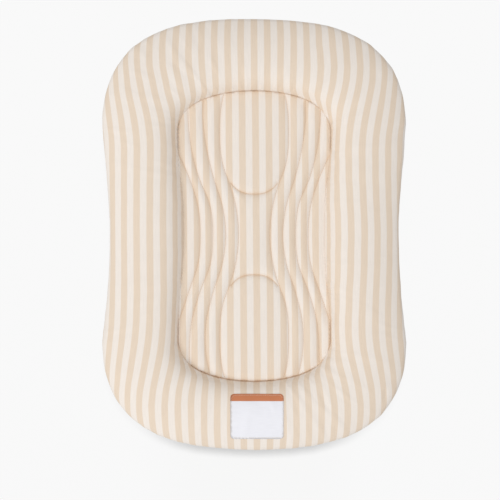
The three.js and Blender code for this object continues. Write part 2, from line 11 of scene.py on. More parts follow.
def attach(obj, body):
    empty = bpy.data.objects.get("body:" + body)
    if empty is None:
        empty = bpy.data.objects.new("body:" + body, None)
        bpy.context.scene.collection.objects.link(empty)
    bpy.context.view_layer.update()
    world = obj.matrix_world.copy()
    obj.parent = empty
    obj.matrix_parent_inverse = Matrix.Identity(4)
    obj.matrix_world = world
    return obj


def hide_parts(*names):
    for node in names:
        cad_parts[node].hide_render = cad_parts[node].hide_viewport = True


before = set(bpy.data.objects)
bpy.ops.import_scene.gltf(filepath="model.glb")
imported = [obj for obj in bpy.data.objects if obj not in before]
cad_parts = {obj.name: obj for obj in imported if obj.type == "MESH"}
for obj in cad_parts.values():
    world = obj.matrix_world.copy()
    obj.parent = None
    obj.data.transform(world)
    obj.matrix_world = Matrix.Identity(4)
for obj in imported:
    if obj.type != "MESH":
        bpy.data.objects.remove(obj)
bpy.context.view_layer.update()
mm = 0.001
print("frame loaded")

camera = {
    "aimAt": (-7.35, -26.7),  # what the middle of the picture looks at
    "height": 3072.0,
    "frameWidth": 854.5,  # seen at the height of the silhouette
    "silhouetteHeight": 72.0,
    "sensor": 36.0,
}
light = {
    # where each lamp stands from the lounger, its distance, size and power
    "softKey": ((-0.42, -0.34, 0.84), 10000.0, 5700.0, 434.0),
    # a second lamp reaches the floor alone, and lays the soft shadow beyond the foot end
    "shadowLamp": ((0.01, 0.19, 0.98), 9000.0, 2000.0, 2560.0),
    "worldStrength": 0.62,
    "floorColour": "#f9f9f9", "floorShade": "#898989", "floorHalf": 6000.0, "floorLow": -0.3,
    # how much of the floor's white is its own light: least, and so the deepest shadow, beyond the foot end
    "floorGlow": (0.62, 0.93), "shadowHalfWidth": (90.0, 215.0), "shadowFromHead": (-230.0, -330.0),
}

# Outlines and section of the lounger, as its CAD source has them; the stuffed ring is drawn a little
# rounder than the solid, with a softer inner wall, a lower shoulder and a gentler step in the pad's flank
cover = {
    "headEnd": 368.5, "headHalfWidth": 259.5, "headWidestAt": 187.0, "waistHalfWidth": 247.0,
    "waistAt": 20.0, "footHalfWidth": 260.0, "footWidestAt": 186.0, "footEnd": 368.5,
    "shares": (0.41, 0.95, 0.1, 0.18, 0.62, 0.14, 0.95, 0.41),
}
pad = {
    "headEnd": 246.8, "headHalfWidth": 131.4, "headWidestAt": 175.6, "waistHalfWidth": 121.6,
    "waistAt": 13.0, "footHalfWidth": 130.8, "footWidestAt": 179.6, "footEnd": 252.0,
    "shares": (0.3, 0.87, 0.54, 0.53, 0.6, 0.55, 0.94, 0.21),
}
curveSteps = (9, 5, 5, 9)  # points along the four curves of half an outline, times how fine it is
section = {
    "crest": 100.0, "seam": 63.5, "shoulder": 79.0, "edge": 70.0,
    "wallLean": 7.0, "wallKnee": 0.75, "wallRound": 22.0, "crestShare": 0.39, "crestRound": 26.0,
    "shoulderIn": 5.0, "shoulderRun": 18.0, "shoulderDrop": 13.0, "edgeRound": 4.0,
    "sideRound": 38.0, "sideTuck": 8.0, "floorIn": 34.0,
    "baseSeam": 0.62, "baseGap": 0.006,  # shares of the side's curve: where the base is sewn on, and its gap
    "recessStart": 34.0, "recessEnd": 10.0, "baseLift": 9.0,
}
layers = {
    "clearance": 0.3, "coverCloth": 1.6, "linerCloth": 0.8, "quiltBacking": 4.0, "quiltWadding": 8.0,
    "insertLift": 14.2,
}
layers["insertTop"] = (section["seam"] - layers["quiltBacking"] - layers["quiltWadding"]
                       - 2 * layers["clearance"])


# Shapes
def smoothStep(x, low, high):
    t = np.clip((x - low) / (high - low), 0, 1)
    return t * t * (3 - 2 * t)


def unit(vectors):
    return vectors / np.linalg.norm(vectors, axis=-1, keepdims=True)


def noiseAt(x, y, z):
    places = np.stack(np.broadcast_arrays(x, y, z), axis=-1)
    return np.array([noise.noise(p) for p in places.reshape(-1, 3)]).reshape(places.shape[:-1])


# A mean over neighbours
def smoothed(values, count):
    return np.convolve(np.pad(values, count // 2, mode="edge"), np.ones(count) / count, mode="valid")


def bezier(a, b, c, d, t):
    t = t[:, None]
    return (1 - t) ** 3 * a + 3 * t * (1 - t) ** 2 * b + 3 * t * t * (1 - t) * c + t ** 3 * d


def bezierSlope(a, b, c, d, t):
    t = t[:, None]
    return 3 * (1 - t) ** 2 * (b - a) + 6 * t * (1 - t) * (c - b) + 3 * t * t * (d - c)


# Right half, from the middle of the head end to the middle of the foot end
def halfOutline(o, fine, inset=0.0):
    s = o["shares"]
    head, foot = o["headEnd"] - inset, inset - o["footEnd"]
    headX, waistX, footX = (o[k] - inset for k in ("headHalfWidth", "waistHalfWidth", "footHalfWidth"))
    headY, waistY, footY = o["headWidestAt"], o["waistAt"], -o["footWidestAt"]
    x = ((0, headX * s[0], headX, headX), (headX, headX, waistX, waistX),
         (waistX, waistX, footX, footX), (footX, footX, footX * s[7], 0))
    y = ((head, head, headY + (head - headY) * s[1], headY),
         (headY, headY - (headY - waistY) * s[2], waistY + (headY - waistY) * s[3], waistY),
         (waistY, waistY - (waistY - footY) * s[4], footY + (waistY - footY) * s[5], footY),
         (footY, footY - (footY - foot) * s[6], foot, foot))
    curves = np.dstack([x, y])
    runs = [np.arange(1, steps * fine + 1) / (steps * fine) for steps in curveSteps]
    return np.concatenate([curves[0, :1]] + [bezier(*curve, run) for curve, run in zip(curves, runs)])


def wholeOutline(half):
    return np.concatenate([half, half[-2:0:-1] * (-1, 1)])


def closed(loop):
    return np.concatenate([loop, loop[:1]])


# The ring's rays: seam point, direction across the ring and width, one for each outline point
def raysOf(fine):
    start = wholeOutline(halfOutline(pad, fine))
    across = wholeOutline(halfOutline(cover, fine)) - start
    width = np.linalg.norm(across, axis=1)
    return {"start": start, "direction": unit(across), "width": width, "curves": sectionCurves(width)}


def sectionCurves(width):
    c = section
    knee = c["seam"] + (c["crest"] - c["seam"]) * c["wallKnee"]
    crest, shoulder = (width * c["crestShare"], c["crest"]), (width - c["shoulderIn"], c["shoulder"])
    edge, half = (width, c["edge"]), c["shoulderIn"] / 2
    curves = {
        "wall": ((0, c["seam"]), (c["wallLean"], knee), (c["wallRound"], c["crest"]), crest),
        "top": (crest, (crest[0] + c["crestRound"], c["crest"]),
                (shoulder[0] - c["shoulderRun"], c["shoulder"] + c["shoulderDrop"]), shoulder),
        "edge": (shoulder, (width - half, c["shoulder"] - half), (width, c["edge"] + c["edgeRound"]), edge),
        "side": (edge, (width, c["edge"] - c["sideRound"]), (width - c["sideTuck"], 0),
                 (width - c["floorIn"], 0)),
    }
    allRound = lambda point: np.column_stack([part + 0 * width for part in point])
    return {name: [allRound(point) for point in points] for name, points in curves.items()}


# A loop round the lounger, s across the ring from the seam and z up
def ringPoints(rays, s, z):
    n = len(rays["width"])
    plan = rays["start"] + rays["direction"] * np.broadcast_to(s, n)[:, None]
    return np.column_stack([plan, np.broadcast_to(z, n)])


# The loop at one stop of the section, or inset into it by a layer's thickness
def sectionLoop(rays, stop, inset=0.0):
    curve, t = rays["curves"][stop[0]], np.full(len(rays["width"]), float(stop[1]))
    at, along = bezier(*curve, t), unit(bezierSlope(*curve, t))
    return ringPoints(rays, at[:, 0] + along[:, 1] * inset, at[:, 1] - along[:, 0] * inset)


# Loops of the underside from the ring's edge inwards, drawn up to lift towards the middle
def underLoops(rays, stops, count, lift, inset=0.0):
    start, end = section["recessStart"], section["recessEnd"]
    loops = [sectionLoop(rays, ("side", stop), inset) for stop in stops]
    for s in np.linspace(start, end, count):
        loops.append(ringPoints(rays, s, inset + (lift - inset) * smoothStep(-s, -start, -end)))
    return loops


# Evenly spread stops down the section to the base's seam, without doubling the joints
def stopsOf(rows):
    stops = []
    for name, count in zip(("wall", "top", "edge", "side"), rows):
        last = section["baseSeam"] if name == "side" else 1.0
        stops += [(name, last * k / count) for k in range(count)]
    return stops + [("side", section["baseSeam"])]


# How far along a line each of its points lies
def lengthsAlong(line):
    return np.concatenate([[0], np.cumsum(np.linalg.norm(np.diff(line, axis=0), axis=1))])


def pointsAlong(line, run, at):
    return np.column_stack([np.interp(at, run, part) for part in line.T])


# The same line with points about step apart
def respaced(line, step):
    run = lengthsAlong(line)
    return pointsAlong(line, run, np.linspace(0, run[-1], max(2, round(run[-1] / step) + 1)))


def nearestDistance(points, others, chunk=2000):
    best = np.empty(len(points))
    for k in range(0, len(points), chunk):
        d = ((points[k:k + chunk, None, :] - others[None, :, :]) ** 2).sum(axis=2)
        best[k:k + chunk] = np.sqrt(d.min(axis=1))
    return best


def distanceTo(lines, points, step=0.7):
    return nearestDistance(points, np.concatenate([respaced(line, step) for line in lines]))


# Directions to the right of a plan line
def sideways(line):
    run = unit(np.gradient(line, axis=0))
    return np.column_stack([run[:, 1], -run[:, 0]])


# Which plan points lie inside a closed outline
def isInside(points, loop):
    p, q = loop, np.roll(loop, -1, axis=0)
    inside = []
    for x, y in points.reshape(-1, 2):
        crosses = (p[:, 1] > y) != (q[:, 1] > y)
        a, b = p[crosses], q[crosses]
        at = a[:, 0] + (y - a[:, 1]) / (b[:, 1] - a[:, 1]) * (b[:, 0] - a[:, 0])
        inside.append((at > x).sum() % 2 == 1)
    return np.array(inside, bool).reshape(points.shape[:-1])


def surfaceOf(points, faces):
    return BVHTree.FromPolygons(points.tolist(), faces)


# Heights of a surface at plan points, not a number beside it
def heightsAt(surface, plan):
    hits = [surface.ray_cast((x, y, 300), (0, 0, -1))[0] for x, y in plan.reshape(-1, 2)]
    return np.array([math.nan if hit is None else hit.z for hit in hits]).reshape(plan.shape[:-1])


# The points of a plan line, set on a surface below them
def onSurface(surface, line, lift):
    points = np.column_stack([line, heightsAt(surface, line) + lift])
    return points[~np.isnan(points[:, 2])]


def sampleGrid(xs, ys, values, x, y):
    g = xs[1] - xs[0]
    fx = np.clip((x - xs[0]) / g, 0, len(xs) - 1.001)
    fy = np.clip((y - ys[0]) / g, 0, len(ys) - 1.001)
    i, j = fx.astype(int), fy.astype(int)
    a, b = fx - i, fy - j
    return ((values[j, i] * (1 - a) + values[j, i + 1] * a) * (1 - b)
            + (values[j + 1, i] * (1 - a) + values[j + 1, i + 1] * a) * b)


# Meshes
def addObject(name, data):
    thing = bpy.data.objects.new(name, data)
    bpy.context.scene.collection.objects.link(thing)
    return thing


def meshOf(name, points, faces):
    mesh = bpy.data.meshes.new(name)
    mesh.from_pydata((points * mm).tolist(), [], faces)
    return mesh


# Adds a part of the cover or the insert. With seam, it stores the cloth's own coordinates in millimetres:
# across the stripes and along them, as in plan where none are given, and how much painted shade darkens it
def addPiece(name, verts, faces, material, slot, node=None, seam=None, plan=None):
    mesh = meshOf(name, verts, faces)
    mesh.validate()
    mesh.update()
    mesh.shade_smooth()
    mesh.materials.append(material)
    if seam is not None:
        across, along = plan or verts[:, :2].T
        values = np.column_stack([across, along, np.broadcast_to(seam, len(verts))])
        attribute = mesh.attributes.new("cloth", "FLOAT_VECTOR", "POINT")
        attribute.data.foreach_set("vector", values.astype(np.float32).ravel())
    piece = addObject(name, mesh)
    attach(piece, "lounger")
    if node:
        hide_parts(node)
    return piece


# Faces between loops of points, one loop after the other
def gridFaces(rows, columns, start=0):
    faces = []
    for j in range(rows - 1):
        a, b = start + j * columns, start + (j + 1) * columns
        for i in range(columns):
            k = (i + 1) % columns
            faces.append((a + i, a + k, b + k, b + i))
    return faces


# The same with both ends closed
def tubeFaces(rows, columns, start=0):
    last = start + (rows - 1) * columns
    return gridFaces(rows, columns, start) + [tuple(start + k for k in reversed(range(columns))),
                                              tuple(last + k for k in range(columns))]


# A wall from a rim, given by its numbers, to as many points from start on
def skirtFaces(rim, start):
    n = len(rim)
    return [(rim[i], rim[(i + 1) % n], start + (i + 1) % n, start + i) for i in range(n)]


# Faces that fill a closed loop of points given by number
def capOf(loop):
    faces = [(loop[0], loop[-1], loop[1])]
    for i in range(1, len(loop) // 2):
        j = len(loop) - i
        faces.append((loop[i], loop[j], loop[j - 1], loop[i + 1]) if j - 1 != i + 1
                     else (loop[i], loop[j], loop[i + 1]))
    return faces


def edgesRound(count):
    return [(i, (i + 1) % count) for i in range(count)]


def numbersOf(points, net):
    return [int(np.argmin(((net - p) ** 2).sum(axis=1))) for p in points]


# A triangle net inside an outline, with edges along the given lines
def netIn(outlineLoop, lines, spacing, gap, beside=()):
    edges = edgesRound(len(outlineLoop))
    start = len(outlineLoop)
    for line in lines:
        edges += [(start + i, start + i + 1) for i in range(len(line) - 1)]
        start += len(line)
    fixed = np.concatenate([outlineLoop] + lines)
    low, high = outlineLoop.min(axis=0), outlineLoop.max(axis=0)
    cloud = []
    # equal-sided triangles: the rows lie 0.866 of the spacing apart
    for j, y in enumerate(np.arange(low[1] + spacing / 2, high[1], spacing * 0.866)):
        xs = np.arange(low[0] + (j % 2) * spacing / 2, high[0], spacing)
        cloud.append(np.column_stack([xs, np.full(len(xs), y)]))
    cloud = np.concatenate(cloud)
    cloud = cloud[isInside(cloud, outlineLoop)]
    for away in beside:  # rows on both sides of each line, so that a crease runs smoothly
        rows = np.concatenate([line + away * sideways(line) * k for line in lines for k in (-1, 1)])
        rows = rows[isInside(rows, outlineLoop)]
        fixed = np.concatenate([fixed, rows[nearestDistance(rows, fixed) > away * 0.9]])
    every = np.concatenate([fixed, cloud[nearestDistance(cloud, fixed) > gap]])
    made = delaunay_2d_cdt(every.tolist(), edges, [], 1, 0.01)
    return np.array([tuple(v) for v in made[0]]), [tuple(f) for f in made[2]]


# Materials
def linear(colour):
    parts = [int(colour[k:k + 2], 16) / 255 for k in (1, 3, 5)]
    return tuple(c / 12.92 if c <= 0.04045 else ((c + 0.055) / 1.055) ** 2.4 for c in parts) + (1.0,)


# Adds a node and gives one of its outputs; inputs gives each socket a value or another node's output
def addNode(tree, kind, inputs=None, output=0, **settings):
    node = tree.nodes.new("ShaderNode" + kind)
    for name, value in settings.items():
        setattr(node, name, value)
    for name, value in (inputs or {}).items():
        if isinstance(value, bpy.types.NodeSocket):
            tree.links.new(value, node.inputs[name])
        else:
            node.inputs[name].default_value = value
    return node.outputs[output]


def calculate(tree, operation, *values):
    return addNode(tree, "Math", dict(enumerate(values)), operation=operation)


def remap(tree, value, low, high, toLow=0.0, toHigh=1.0, kind="LINEAR"):
    inputs = {0: value, 1: low, 2: high, 3: toLow, 4: toHigh}
    return addNode(tree, "MapRange", inputs, interpolation_type=kind)


def mixed(tree, share, a, b, kind="MIX"):
    return addNode(tree, "Mix", {0: share, 6: a, 7: b}, 2, data_type="RGBA", blend_type=kind)


def startMaterial(name, surface):
    material = bpy.data.materials.new(name)
    material.use_nodes = True
    tree = material.node_tree
    shader = tree.nodes["Principled BSDF"]
    for key, value in surface.items():
        shader.inputs[key].default_value = value
    return material, tree, shader


# Gives a shader its colour and a bump, whose depth is in millimetres
def finishShader(tree, shader, colour, height, strength, depth):
    tree.links.new(colour, shader.inputs["Base Color"])
    bump = addNode(tree, "Bump", {"Strength": strength, "Distance": depth * mm, "Height": height})
    tree.links.new(bump, shader.inputs["Normal"])


# Millimetres across and along the cloth, and how much painted shade darkens it
def clothCoordinates(tree):
    stored = addNode(tree, "Attribute", output="Vector", attribute_name="cloth", attribute_type="GEOMETRY")
    return addNode(tree, "SeparateXYZ", {0: stored}).node.outputs[:3]


# Over and under of a plain weave, 0 to 1
def weaveHeight(tree, across, along, spacing):
    waves = [calculate(tree, "SINE", calculate(tree, "MULTIPLY", place, math.pi / spacing))
             for place in (across, along)]
    return calculate(tree, "MULTIPLY_ADD", calculate(tree, "MULTIPLY", *waves), 0.5, 0.5)


# Uneven yarn: noise drawn out along the threads
def slubs(tree, across, along, width, length):
    place = addNode(tree, "CombineXYZ", {0: across, 1: along})
    scaled = addNode(tree, "VectorMath", {0: place, 1: (1 / width, 1 / length, 0)}, operation="MULTIPLY")
    return addNode(tree, "TexNoise", {"Vector": scaled, "Scale": 1.0, "Detail": 2.0, "Roughness": 0.55},
                   noise_dimensions="2D")


# Slubs turn a colour from darkest to lightest, and painted shade at seams, creases and edges darkens it towards
# a warm tone
def slubbedAndShadedColour(tree, colour, slub, darkest, lightest, seam, paintedShadeTone):
    uneven = mixed(tree, 1.0, colour, remap(tree, slub, 0.25, 0.75, darkest, lightest), "MULTIPLY")
    return mixed(tree, seam, uneven, linear(paintedShadeTone), "MULTIPLY")


stripes = {
    "halfPeriod": 11.4,  # width of one stripe
    "edgeBlur": 0.7,  # the dyed yarns mingle over this width
    "wander": 0.8, "wanderWidth": 30.0, "wanderLength": 90.0,  # how far the stripes' edges drift
    # the last colour is the warm tone of the painted shade in its seams and creases
    "beige": "#e8d6c2", "cream": "#f1e8df", "paintedShadeTone": "#d7a253",
    "yarn": 1.5,  # real yarns are 0.35 apart; drawn coarser, or they would not show at all
    "weaveBump": 0.12, "slubWidth": 1.4, "slubLength": 26.0, "slubShades": (0.965, 1.02),
    "surface": {"Roughness": 0.86, "IOR": 1.46, "Sheen Weight": 0.18, "Sheen Roughness": 0.45},
}


# Yarn-dyed cotton poplin, woven: matt with a soft bloom, cream and beige stripes of equal width
def makeStripedCotton():
    s = stripes
    material, tree, shader = startMaterial("StripedCottonPoplin", s["surface"])
    across, along, seam = clothCoordinates(tree)
    drift = slubs(tree, across, along, s["wanderWidth"], s["wanderLength"])
    wander = calculate(tree, "MULTIPLY_ADD", drift, s["wander"], -s["wander"] / 2)
    wave = calculate(tree, "PINGPONG", calculate(tree, "ADD", across, wander), s["halfPeriod"])
    middle, blur = s["halfPeriod"] / 2, s["edgeBlur"]
    stripe = remap(tree, wave, middle - blur, middle + blur, kind="SMOOTHSTEP")
    dyed = mixed(tree, stripe, linear(s["beige"]), linear(s["cream"]))
    slub = slubs(tree, across, along, s["slubWidth"], s["slubLength"])
    finishShader(tree, shader, slubbedAndShadedColour(tree, dyed, slub, *s["slubShades"], seam, s["paintedShadeTone"]),
                 weaveHeight(tree, across, along, s["yarn"]), 0.5, s["weaveBump"])
    return material


# Plain woven cloth of one colour: cotton twill, muslin, twill tape
def makePlainCloth(name, colour, yarn, depth, roughness, unevenness=0.04):
    surface = {"Roughness": roughness, "IOR": 1.46, "Sheen Weight": 0.15, "Sheen Roughness": 0.5}
    material, tree, shader = startMaterial(name, surface)
    across, along, seam = clothCoordinates(tree)
    slub = slubs(tree, across, along, yarn, 18.0)
    # c2a98c is the tone of the painted shade at its seams and edges
    finishShader(tree, shader, slubbedAndShadedColour(tree, linear(colour), slub, 1 - unevenness, 1.0, seam, "#c2a98c"),
                 weaveHeight(tree, across, along, yarn), 0.6, depth)
    return material


patch = {
    "width": 90.0, "length": 77.0, "thickness": 0.6, "centreX": 4.5, "fromFoot": 20.8, "corner": 6.0,
    # edgePaintedShadeTone and edgePaintedShade give the painted shade near its edge, underPaintedShade the
    # painted shade on its sides
    "bandLength": 12.0, "bandBlur": 0.3, "field": "#f0f0f6", "band": "#cd7f55", "edgePaintedShadeTone": "#b9aa9c",
    "rib": 1.2, "ribDepth": 0.05, "slubShades": (0.96, 1.0),
    "netSpacing": 3.0, "netGap": 1.6, "rimSpacing": 2.0, "cornerSteps": 6,
    "edgePaintedShade": 0.35, "edgeReach": 0.8, "underPaintedShade": 0.4, "sag": 0.5, "sagSize": (19.0, 13.0), "sagFrom": 6.0,
    "stitchIn": 2.2, "stitchLift": 0.15, "stitch": {"length": 2.4, "gap": 0.8, "radius": 0.2},
    "surface": {"Roughness": 0.55, "IOR": 1.5, "Sheen Weight": 0.1},
}


# Woven satin patch: fine ribs, a little shine, off-white field with a terracotta band
def makePatchSatin():
    p = patch
    material, tree, shader = startMaterial("WovenSatinPatch", p["surface"])
    across, along, seam = clothCoordinates(tree)
    bandFrom = p["length"] - p["bandLength"]
    top = remap(tree, along, bandFrom - p["bandBlur"], bandFrom + p["bandBlur"])
    toned = mixed(tree, top, linear(p["field"]), linear(p["band"]))
    slub = slubs(tree, along, across, 1.0, 20.0)
    rib = calculate(tree, "SINE", calculate(tree, "MULTIPLY", along, 2 * math.pi / p["rib"]))
    slubbedAndShaded = slubbedAndShadedColour(tree, toned, slub, *p["slubShades"], seam, p["edgePaintedShadeTone"])
    finishShader(tree, shader, slubbedAndShaded, rib, 0.4, p["ribDepth"])
    return material


# Stuff with a mottle of its own: two colours and a bump from one pattern, of noise or of open cells
def makeMottled(name, surface, colours, size, detail, strength, depth, distortion=0.0, kind="MIX",
                rough=None):
    material, tree, shader = startMaterial(name, surface)
    where = {"Vector": addNode(tree, "TexCoord", output="Object"), "Scale": 1 / (size * mm)}
    if detail is None:
        pattern = addNode(tree, "TexVoronoi", where, "Distance")
    else:
        pattern = addNode(tree, "TexNoise", {**where, "Detail": detail, "Distortion": distortion})
    if rough:
        tree.links.new(remap(tree, pattern, 0.3, 0.7, *rough), shader.inputs["Roughness"])
    finishShader(tree, shader, mixed(tree, pattern, *map(linear, colours), kind), pattern, strength, depth)
    return material


# Spun polyester thread: slight shine, twisted
def makeThread(name, colour):
    return makeMottled(name, {"Roughness": 0.5, "IOR": 1.5, "Sheen Weight": 0.2}, (colour, "#f3f1ed"),
                       size=0.8, detail=1.0, strength=0.5, depth=0.05, kind="MULTIPLY")


stripedCotton = makeStripedCotton()
baseTwill = makePlainCloth("NaturalCottonTwill", "#f2ece2", 1.4, 0.12, 0.88)
muslin = makePlainCloth("CottonMuslin", "#f6f3ec", 1.8, 0.15, 0.92, 0.06)
twillTape = makePlainCloth("PolyesterZipTape", "#efe6d8", 0.9, 0.1, 0.7)
patchSatin = makePatchSatin()
seamThread = makeThread("BeigeSeamThread", "#d8bd9c")
paleThread = makeThread("PaleSeamThread", "#e9dfce")
# carded fibre and cut foam both scatter light: one is fluffy, one has open cells
fibre = makeMottled("PolyesterFibre", {"Roughness": 0.95, "IOR": 1.45, "Sheen Weight": 0.3},
                    ("#e6e5e0", "#fbfbf8"), size=6.0, detail=4.0, distortion=1.5, strength=0.7, depth=1.2)
foam = makeMottled("PolyurethaneFoam", {"Roughness": 0.95, "IOR": 1.45}, ("#d9cd9f", "#f1e9c8"),
                   size=1.6, detail=None, strength=0.7, depth=0.4)
# moulded nylon is smooth and half matt, with the faint mottle of the mould
nylon = makeMottled("MouldedNylon", {"Roughness": 0.42, "IOR": 1.53}, ("#dccfb9", "#ece2d1"),
                    size=2.5, detail=3.0, strength=0.3, depth=0.03)
# die-cast zinc, nickel plated and tumbled: bright metal with fine random scratches
nickel = makeMottled("NickelPlatedZinc", {"Metallic": 1.0}, ("#aaa69d", "#c4c1b9"),
                     size=1.6, detail=5.0, distortion=2.0, strength=0.25, depth=0.02, rough=(0.26, 0.42))
print("materials made")

# Ring of the cover
ring = {
    "fine": 12,  # times as many points round the outline as the CAD has
    "rows": (16, 36, 5, 16),  # loops down its inner wall, top, edge and side
    "tuck": 0.5,  # how deep the edge goes into the seam with the pad
    "swell": 0.7, "swellSize": 85.0,  # soft unevenness of the stuffing
    "lump": 0.22, "lumpSize": 24.0,
    "smoothEdge": 10.0,  # all unevenness ends this near its two edges
    "fold": 1.0, "foldSize": 15.0, "foldReach": 60.0,  # longer soft folds across it, most at its corners
    "foldMiddle": 0.6, "foldLeast": 0.3,  # share of the ring's width it is laid by, and strength off a corner
    # single folds seen in the picture: both ends in plan, depth and half width
    "folds": (((110, -262), (128, -305), 1.0, 4.0), ((119, -318), (127, -352), 0.8, 3.5),
              ((52, -318), (52, -366), 0.6, 3.0), ((-35, -252), (-35, -272), 0.5, 2.5),
              ((-144, -236), (-144, -274), 0.8, 4.0), ((223, -262), (223, -286), 0.7, 3.5)),
    "foldEnds": (-0.15, 0.35), "ridge": 0.45, "ridgeAt": 1.9,  # each runs out, and is pushed up on both sides
    # the stuffing is not quite even: how far each corner's outline stands out, head first, left then right
    "cornerOut": (1.2, -1.4, -1.7, -1.1), "cornerFocus": 1.5, "cornerHeights": (15.0, 50.0),
    # small folds where it is eased onto the pad
    "gather": 0.45, "gatherSize": 13.0, "gatherReach": 22.0, "gatherFrom": 5.0,
    "gatherWander": 1.5, "wanderOver": 5.0, "gatherShares": (0.6, 0.4), "sharesOver": 3.7,
    # painted shade along the pad's seam, deeper at the foot end than at the head
    "seamPaintedShade": (0.2, 0.46),  # at the head and the foot end
    # painted shade along its right flank, where it overhangs
    "rightPaintedShade": 0.16, "rightWidth": 5.0, "rightFrom": 60.0, "rightEnds": (120.0, 175.0),
    # how wide the painted seam shade is, and painted shade along its lowest edge, where the base is sewn on
    "seamWidth": 1.5, "footWider": 1.2, "lowPaintedShade": 0.7, "lowWidth": 1.5,
    "seamAt": (120, 148, 190, 205, 222, 238), "seamShows": (0.0, 0.5, 0.5, 0.15, 0.4, 1.0),
    "flankIn": 2.2, "flankReach": 9.0,  # along the flanks its wall leans in over the seam, to hide the gap
    "planLoops": (8, 38),  # between these loops the stripes are laid in plan, and beyond them by arc length
}


# How clearly the pad's seam shows: a line at its ends, and little along the flanks, where the ring
# bulges over it
def seamShows(y):
    return np.interp(np.abs(y), ring["seamAt"], ring["seamShows"])


# Painted shade along the pad's seam, deeper at the foot end than at the head
def paintedSeamShadeAt(y):
    return seamShows(y) * np.where(y > 0, *ring["seamPaintedShade"])


def nearness(distance, reach):
    return np.exp(-(distance / reach) ** 2)


# Folds across the ring, in millimetres along its normal
def ringFolds(rays, plan, arc):
    r, across = ring, rays["direction"]
    x, y = (rays["start"] + across * rays["width"][:, None] * r["foldMiddle"]).T / r["foldSize"]
    n = noiseAt(x, y, arc / r["foldReach"])
    corner = r["foldLeast"] + (1 - r["foldLeast"]) * np.abs(2 * across[:, 0] * across[:, 1])
    out = r["fold"] * corner * (n - 0.5 * (1 - np.abs(n)) ** 3)
    for start, end, depth, half in r["folds"]:
        run, away = np.subtract(end, start).astype(float), plan - np.array(start, float)
        length = np.linalg.norm(run)
        t = (away @ run) / length ** 2
        d = np.abs(away[..., 0] * run[1] - away[..., 1] * run[0]) / length
        ends = smoothStep(t, *r["foldEnds"]) * smoothStep(1 - t, *r["foldEnds"])
        out += depth * ends * (r["ridge"] * nearness(d - r["ridgeAt"] * half, half) - nearness(d, half))
    return out


def buildRing():
    r, rays = ring, raysOf(ring["fine"])
    start, direction, width = rays["start"], rays["direction"], rays["width"]
    tucked = [ringPoints(rays, 0.0, section["seam"] - r["tuck"] * k) for k in (1.0, 0.5)]
    loops = np.array(tucked + [sectionLoop(rays, stop) for stop in stopsOf(r["rows"])])
    side = np.roll(loops, -1, axis=1) - np.roll(loops, 1, axis=1)
    normal = np.cross(side, np.gradient(loops, axis=0))
    normal /= np.maximum(np.linalg.norm(normal, axis=2, keepdims=True), 1e-9)
    normal *= np.sign(normal[:, :, 2].sum())
    arc = np.cumsum(np.linalg.norm(np.diff(loops, axis=0, prepend=loops[:1]), axis=2), axis=0)
    arc -= arc[len(tucked)]
    # soft unevenness, along the surface's own normal
    finer = r["swellSize"] / r["lumpSize"]
    x, y, z = np.moveaxis(loops, 2, 0) / r["swellSize"]
    lump = r["swell"] * noiseAt(x, y, z) + r["lump"] * noiseAt(x * finer + 7, y * finer + 3, z * finer + 1)
    uneven = lump + ringFolds(rays, loops[:, :, :2], arc)
    uneven *= np.clip(arc / r["smoothEdge"], 0, 1) * np.clip((arc[-1] - arc) / r["smoothEdge"], 0, 1)
    # small folds round the pad, uneven in pitch and depth
    edgeArc = np.cumsum(np.linalg.norm(np.diff(start, axis=0, append=start[:1]), axis=1))
    phase = edgeArc / edgeArc[-1] * np.round(edgeArc[-1] / r["gatherSize"]) * 2 * math.pi
    mean, varied = r["gatherShares"]
    fold = np.sin(phase + r["gatherWander"] * np.sin(phase / r["wanderOver"]))
    fold = fold * (mean + varied * np.sin(phase / r["sharesOver"]))
    below = np.maximum(arc, 0)
    gather = r["gather"] * fold * np.exp(-below / r["gatherReach"]) * smoothStep(arc, 0, r["gatherFrom"])
    loops = loops + normal * (uneven + gather)[:, :, None]
    # corners that stand out or in, and flanks that lean in over the seam
    outward = np.choose((direction[:, 0] > 0) + 2 * (direction[:, 1] < 0), r["cornerOut"])
    outward = outward * np.abs(2 * direction[:, 0] * direction[:, 1]) ** r["cornerFocus"]
    across = np.clip(np.linalg.norm(loops[:, :, :2] - start, axis=2) / width, 0, 1)
    outward = outward * across ** 2 * smoothStep(loops[:, :, 2], *r["cornerHeights"])
    lean = r["flankIn"] * (1 - np.minimum(1, 2 * seamShows(start[:, 1]))) * np.exp(-below / r["flankReach"])
    loops[:, :, :2] += direction * (outward - lean)[:, :, None]
    return rays, loops, arc


rays, ringLoops, ringArc = buildRing()
ringFaces = gridFaces(*ringLoops.shape[:2])
print("ring shaped", ringLoops.shape)


